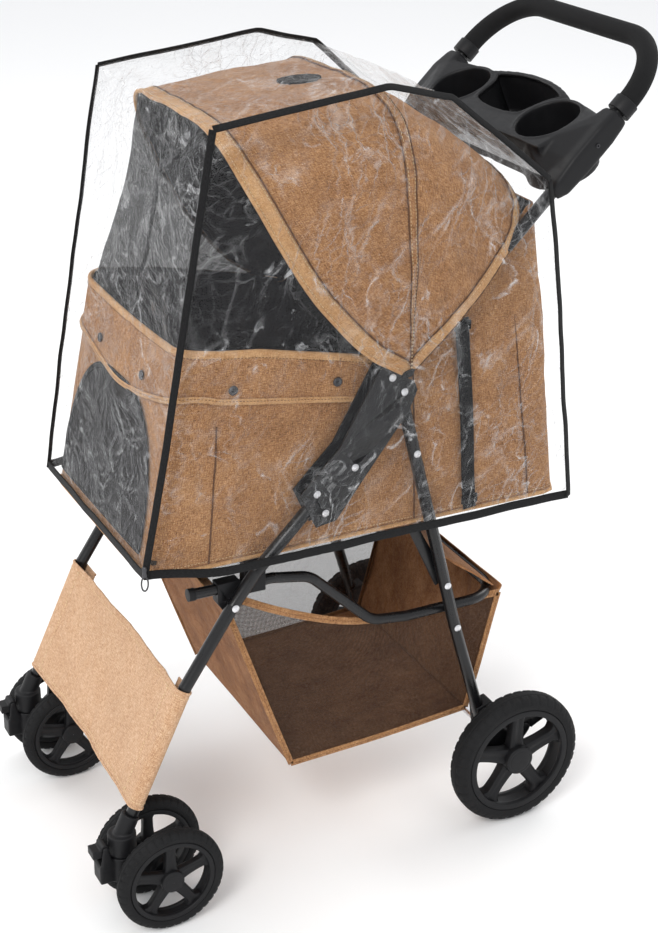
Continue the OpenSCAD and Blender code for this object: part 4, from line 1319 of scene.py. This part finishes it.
def prism(outline, z0, z1):
    """The outline on the tray's plane, raised from z0 to z1."""
    n = len(outline)
    low = [(x, y, z0) for x, y in outline]
    high = [(x, y, z1) for x, y in outline]
    f = [tuple(range(n - 1, -1, -1)), tuple(range(n, 2 * n))]
    f += [(i, (i + 1) % n, n + (i + 1) % n, n + i) for i in range(n)]
    return on_tray(low + high), f


def ring_outline(r, x=0.0, y=0.0, n=72):
    a = np.linspace(0, 2 * math.pi, n, endpoint=False)
    return [(x + r * math.cos(q), y + r * math.sin(q)) for q in a]


solid = Parts()
back_wall = [(x, math.sqrt(212 ** 2 - x ** 2) - 150) for x in np.linspace(132, -132, 40)]
base = [(-146, 20), (-146, -46), (146, -46), (146, 20)] + back_wall
top = on_tray([(x, y, 0) for x, y in base])
low = on_tray([(x * 0.95, y * 0.9, -60) for x, y in base])
solid.add(*hull(np.vstack([top, low])))
for side in (1, -1):
    solid.add(*prism(ring_outline(44.5, side * WELL_X), -71, 0))
    sections = []
    for t, half, lo, hi in ((255, 10, -8, 8), (268, 14, -12, 13), (300, 15.5, -13, 17), (345, 15.5, -13, 17),
                            (366, 13.5, -12, 14), (373, 12, -11, 12)):
        ring = rounded([(-half, lo), (half, lo), (half, hi), (-half, hi)], 5, 4)
        sections += [(side * BAR_X + dx, t, dz) for dx, dz in ring]
    solid.add(*hull(on_bar(sections)))
    mirror = np.array([side, 1, 1])
    gusset = np.array([(166, 258, 6), (166, 262, -8), (164, 360, 14), (164, 364, -8), (176, 300, 16), (176, 350, 16)])
    web = np.array([(122, -46, -2), (122, -46, -48), (112, 44, -2), (118, 40, -44), (96, -48, -30)])
    solid.add(*hull(np.vstack([on_bar(gusset * mirror), on_tray(web * mirror)])))
tray = solid.make("tray_body", TRAY_PLASTIC, "handle")
voxels(tray, 2.0)
frozen(tray)
well = [(0, 56), (32, 54), (56, 47.5), (74, 40), (63, 33), (57, 21), (53, 6), (49, -9), (28, -15), (0, -17)]
well = well + [(-x, y) for x, y in well[-2:0:-1]]
well = [tuple(q) for q in rounded(well, 6, 4)]
cuts = [prism(ring_outline(39, WELL_X), -66, 40), prism(ring_outline(39, -WELL_X), -66, 40),
        prism(well, -54, 40), prism(ring_outline(79, 0, -119, 96), -120, 60)]
for side in (1, -1):
    v, f = lathe([(200, 0.05), (200, 7.7), (420, 7.7), (420, 0.05)], 40)
    v = v.reshape(-1, 3)
    cuts.append((on_bar(np.stack([side * BAR_X + v[:, 1], v[:, 0], v[:, 2]], 1)), f))
cutters = []
for k, (v, f) in enumerate(cuts):
    tool = build(f"cutter_{k}", v, f, TRAY_PLASTIC, None)
    bm = bmesh.new()
    bm.from_mesh(tool.data)
    bmesh.ops.recalc_face_normals(bm, faces=bm.faces)
    bm.to_mesh(tool.data)
    bm.free()
    modifier(tray, "BOOLEAN", object=tool, operation="DIFFERENCE")
    cutters.append(tool)
frozen(tray)
for tool in cutters:
    bpy.data.objects.remove(tool)
lips = Parts()
lips.add(np.array([v.co for v in tray.data.vertices]) / MM, [tuple(q.vertices) for q in tray.data.polygons])


def lip(path, r):
    """Adds a round bead along a closed path on the tray's top."""
    t = tangents(path, True)
    up = facing((0, -math.sin(TILT), math.cos(TILT)), len(path))
    across = np.cross(t, up)
    a = np.linspace(0, 2 * math.pi, 10, endpoint=False)
    v = (path[:, None] + across[:, None] * (r * np.cos(a))[None, :, None]
         + up[:, None] * (r * np.sin(a))[None, :, None])
    lips.add(v, quads(len(path), 10, wrap_u=True, wrap_v=True))


for side in (1, -1):
    lip(on_tray([(x, y, -1.2) for x, y in ring_outline(41.6, side * WELL_X)]), 2.7)
lip(resample(on_tray([(x, y, -1.2) for x, y in well + well[:1]]), 161)[:-1], 2.6)
bpy.data.objects.remove(tray)
tray = lips.make("cup_tray_body", TRAY_PLASTIC, "handle")
voxels(tray, 1.5)
eased(tray, 9)
frozen(tray)
for poly in tray.data.polygons:
    poly.use_smooth = True
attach(tray, "handle")
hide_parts("cup_tray")


# ---- wheels -------------------------------------------------------------------------------------
def both_sides(half):
    """A profile from its half at negative x, mirrored."""
    return half + [(-x, y) for x, y in half[::-1]]


def tyre_mesh(name, r, w, bead, at, body):
    """A tyre with two grooves round it and notched shoulders."""
    h = w / 2
    crown, groove = w * 0.30, h * 0.36
    profile = rounded(both_sides([
        (-h + 1.2, bead), (-h + 0.2, bead + (r - bead) * 0.35), (-h + 0.6, r - crown * 0.9),
        (-h + crown * 0.55, r - crown * 0.22), (-groove, r - 0.25), (-groove + 1.0, r - 1.5),
        (-groove + 2.0, r - 0.1)]), 1.6, 3)
    turns = 320
    v, f = lathe(profile, turns)
    block = (np.arange(turns) % 8 < 2)[:, None]
    shoulder = (np.abs(profile[:, 0]) > h * 0.40) & (profile[:, 1] > r - crown)
    cut = np.where(block & shoulder[None], 1.3, 0.0)
    radius = np.linalg.norm(v[..., 1:], axis=2)
    v[..., 1:] *= ((radius - cut) / radius)[..., None]
    p = Parts()
    p.add(v, f)
    return p.make(name, TYRE, body, at)


def hub_mesh(name, rim, w, barrel, bore, at, body, outer):
    """A rim with five flared spokes, a barrel, and a cap on its outer side."""
    h = w / 2 - 1
    p = Parts()
    p.add(*lathe(rounded(both_sides([(-h, rim - 0.3), (-h, rim * 0.885), (-h * 0.62, rim * 0.87),
                                     (-h * 0.45, rim * 0.905)]), 1.3, 4), 128))
    p.add(*lathe(rounded([(-h, barrel * 0.86), (-h + 2, barrel), (h - 2, barrel), (h, barrel * 0.86),
                          (h, bore + 0.4), (-h, bore + 0.4)], 1.0, 4), 72))
    for i in range(5):
        a = math.radians(90 + 72 * i)
        radial, around = np.array([0, math.cos(a), math.sin(a)]), np.array([0, -math.sin(a), math.cos(a)])
        rows = []
        for s in np.linspace(0, 1, 18):
            r = barrel * 0.80 + (rim * 0.90 - barrel * 0.80) * s
            half = rim * (0.118 + 0.05 * (1 - s) ** 3 + 0.10 * smooth((s - 0.80) / 0.20) ** 1.5)
            half = min(half, r * 0.66)
            depth = h * (0.66 - 0.14 * math.sin(math.pi * min(1, s * 1.05)))
            section = rounded([(-half, -depth * 0.72), (-half * 0.82, -depth), (half * 0.82, -depth),
                               (half, -depth * 0.72), (half, depth * 0.72), (half * 0.55, depth),
                               (0, depth * 0.80), (-half * 0.55, depth), (-half, depth * 0.72)], 1.2, 3)
            rows.append([radial * math.sqrt(max(r * r - q[0] ** 2, 1)) + around * q[0]
                         + np.array([q[1] * outer, 0, 0]) for q in section])
        rows = np.array(rows)
        p.add(rows, quads(rows.shape[0], rows.shape[1], wrap_v=True, flip=outer < 0))
    face = barrel * 1.32
    cap = rounded([(h * 0.3, 0.15), (h * 0.3, face), (h - 0.2, face * 0.96), (h + 0.7, face * 0.80),
                   (h + 0.4, face * 0.74), (h + 0.9, face * 0.66), (h + 1.5, 0.15)], 0.9, 4)
    cap[:, 0] *= outer
    p.add(*lathe(cap, 56))
    return p.make(name, PLASTIC, body, at)


# radius, width and bead of each size of tyre, and where its axle is
REAR_TYRE, REAR_AT = (90, 32, 72), (201.0, 185.0, 90.0)
CASTOR_TYRE, CASTOR_AT, CASTOR_HALF_GAP = (66, 22, 52.8), (173.0, -292.0, 66.0), 36.0
for side, tag in SIDES:
    at = (side * REAR_AT[0], *REAR_AT[1:])
    ob = tyre_mesh(f"rear_tyre_tread_{tag}", *REAR_TYRE, at, f"rear_wheel_{tag}")
    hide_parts(f"rear_tyre_{tag}")
    ob = hub_mesh(f"rear_wheel_rim_{tag}", REAR_TYRE[2], REAR_TYRE[1], 15, 4, at, f"rear_wheel_{tag}", side)
    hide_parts(f"rear_hub_{tag}")
    for place, where in ((1, "outer"), (-1, "inner")):
        at = (side * (CASTOR_AT[0] + place * CASTOR_HALF_GAP), *CASTOR_AT[1:])
        body = f"castor_wheel_{tag}_{where}"
        ob = tyre_mesh(f"castor_tread_{tag}_{where}", *CASTOR_TYRE, at, body)
        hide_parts(f"castor_tyre_{tag}_{where}")
        ob = hub_mesh(f"castor_rim_{tag}_{where}", CASTOR_TYRE[2], CASTOR_TYRE[1], 11, 3.5, at, body, side * place)
        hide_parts(f"castor_hub_{tag}_{where}")

# ---- camera, light and floor --------------------------------------------------------------------
cam_data = bpy.data.cameras.new("camera")
camera = bpy.data.objects.new("camera", cam_data)
scene.collection.objects.link(camera)
scene.camera = camera
EYE = (1.8215, -0.9168, 1.3914)
az, el, roll = (math.radians(d) for d in (62.46, 23.45, 0.76))
back = Vector((math.sin(az) * math.cos(el), -math.cos(az) * math.cos(el), math.sin(el)))
level = (-back).cross(Vector((0, 0, 1))).normalized()
upright = level.cross(-back)
right = math.cos(roll) * level + math.sin(roll) * upright
up = -math.sin(roll) * level + math.cos(roll) * upright
camera.matrix_world = Matrix([(right[k], up[k], back[k], EYE[k]) for k in range(3)] + [(0, 0, 0, 1)])
cam_data.lens = 69.4
cam_data.sensor_width = 36
cam_data.sensor_fit = "AUTO"
cam_data.shift_x = -0.0121
cam_data.shift_y = -0.0442
cam_data.clip_start, cam_data.clip_end = 0.05, 200
scene.view_settings.view_transform = "Standard"
scene.view_settings.look = "None"

world = bpy.data.worlds.new("studio")
scene.world = world
world.use_nodes = True
background = world.node_tree.nodes["Background"]
background.inputs[0].default_value = (0.97, 0.98, 1.0, 1)
background.inputs[1].default_value = 0.95


def lamp(name, at, target, size, watts):
    data = bpy.data.lights.new(name, "AREA")
    data.shape, data.size, data.energy = "DISK", size, watts
    data.color = (1.0, 0.985, 0.96)
    ob = bpy.data.objects.new(name, data)
    scene.collection.objects.link(ob)
    ob.location = at
    ob.rotation_mode = "QUATERNION"
    ob.rotation_quaternion = (Vector(target) - Vector(at)).to_track_quat("-Z", "Y")


lamp("key", (2.4, -2.6, 3.4), (0, 0, 0.5), 1.8, 95)
lamp("fill", (-2.6, -1.8, 2.0), (0, 0, 0.5), 2.4, 34)
lamp("back_light", (-0.5, 3.0, 2.8), (0, 0, 0.6), 2.0, 40)

FLOOR_M = 60.0
floor_mesh = bpy.data.meshes.new("floor")
floor_mesh.from_pydata([(x * FLOOR_M, y * FLOOR_M, 0) for x, y in ((-1, -1), (1, -1), (1, 1), (-1, 1))], [],
                       [(0, 1, 2, 3)])
floor = bpy.data.objects.new("floor", floor_mesh)
scene.collection.objects.link(floor)
floor_mesh.materials.append(Material("floor_white", (0.93, 0.93, 0.93, 1), 0.95).m)

bpy.context.view_layer.update()
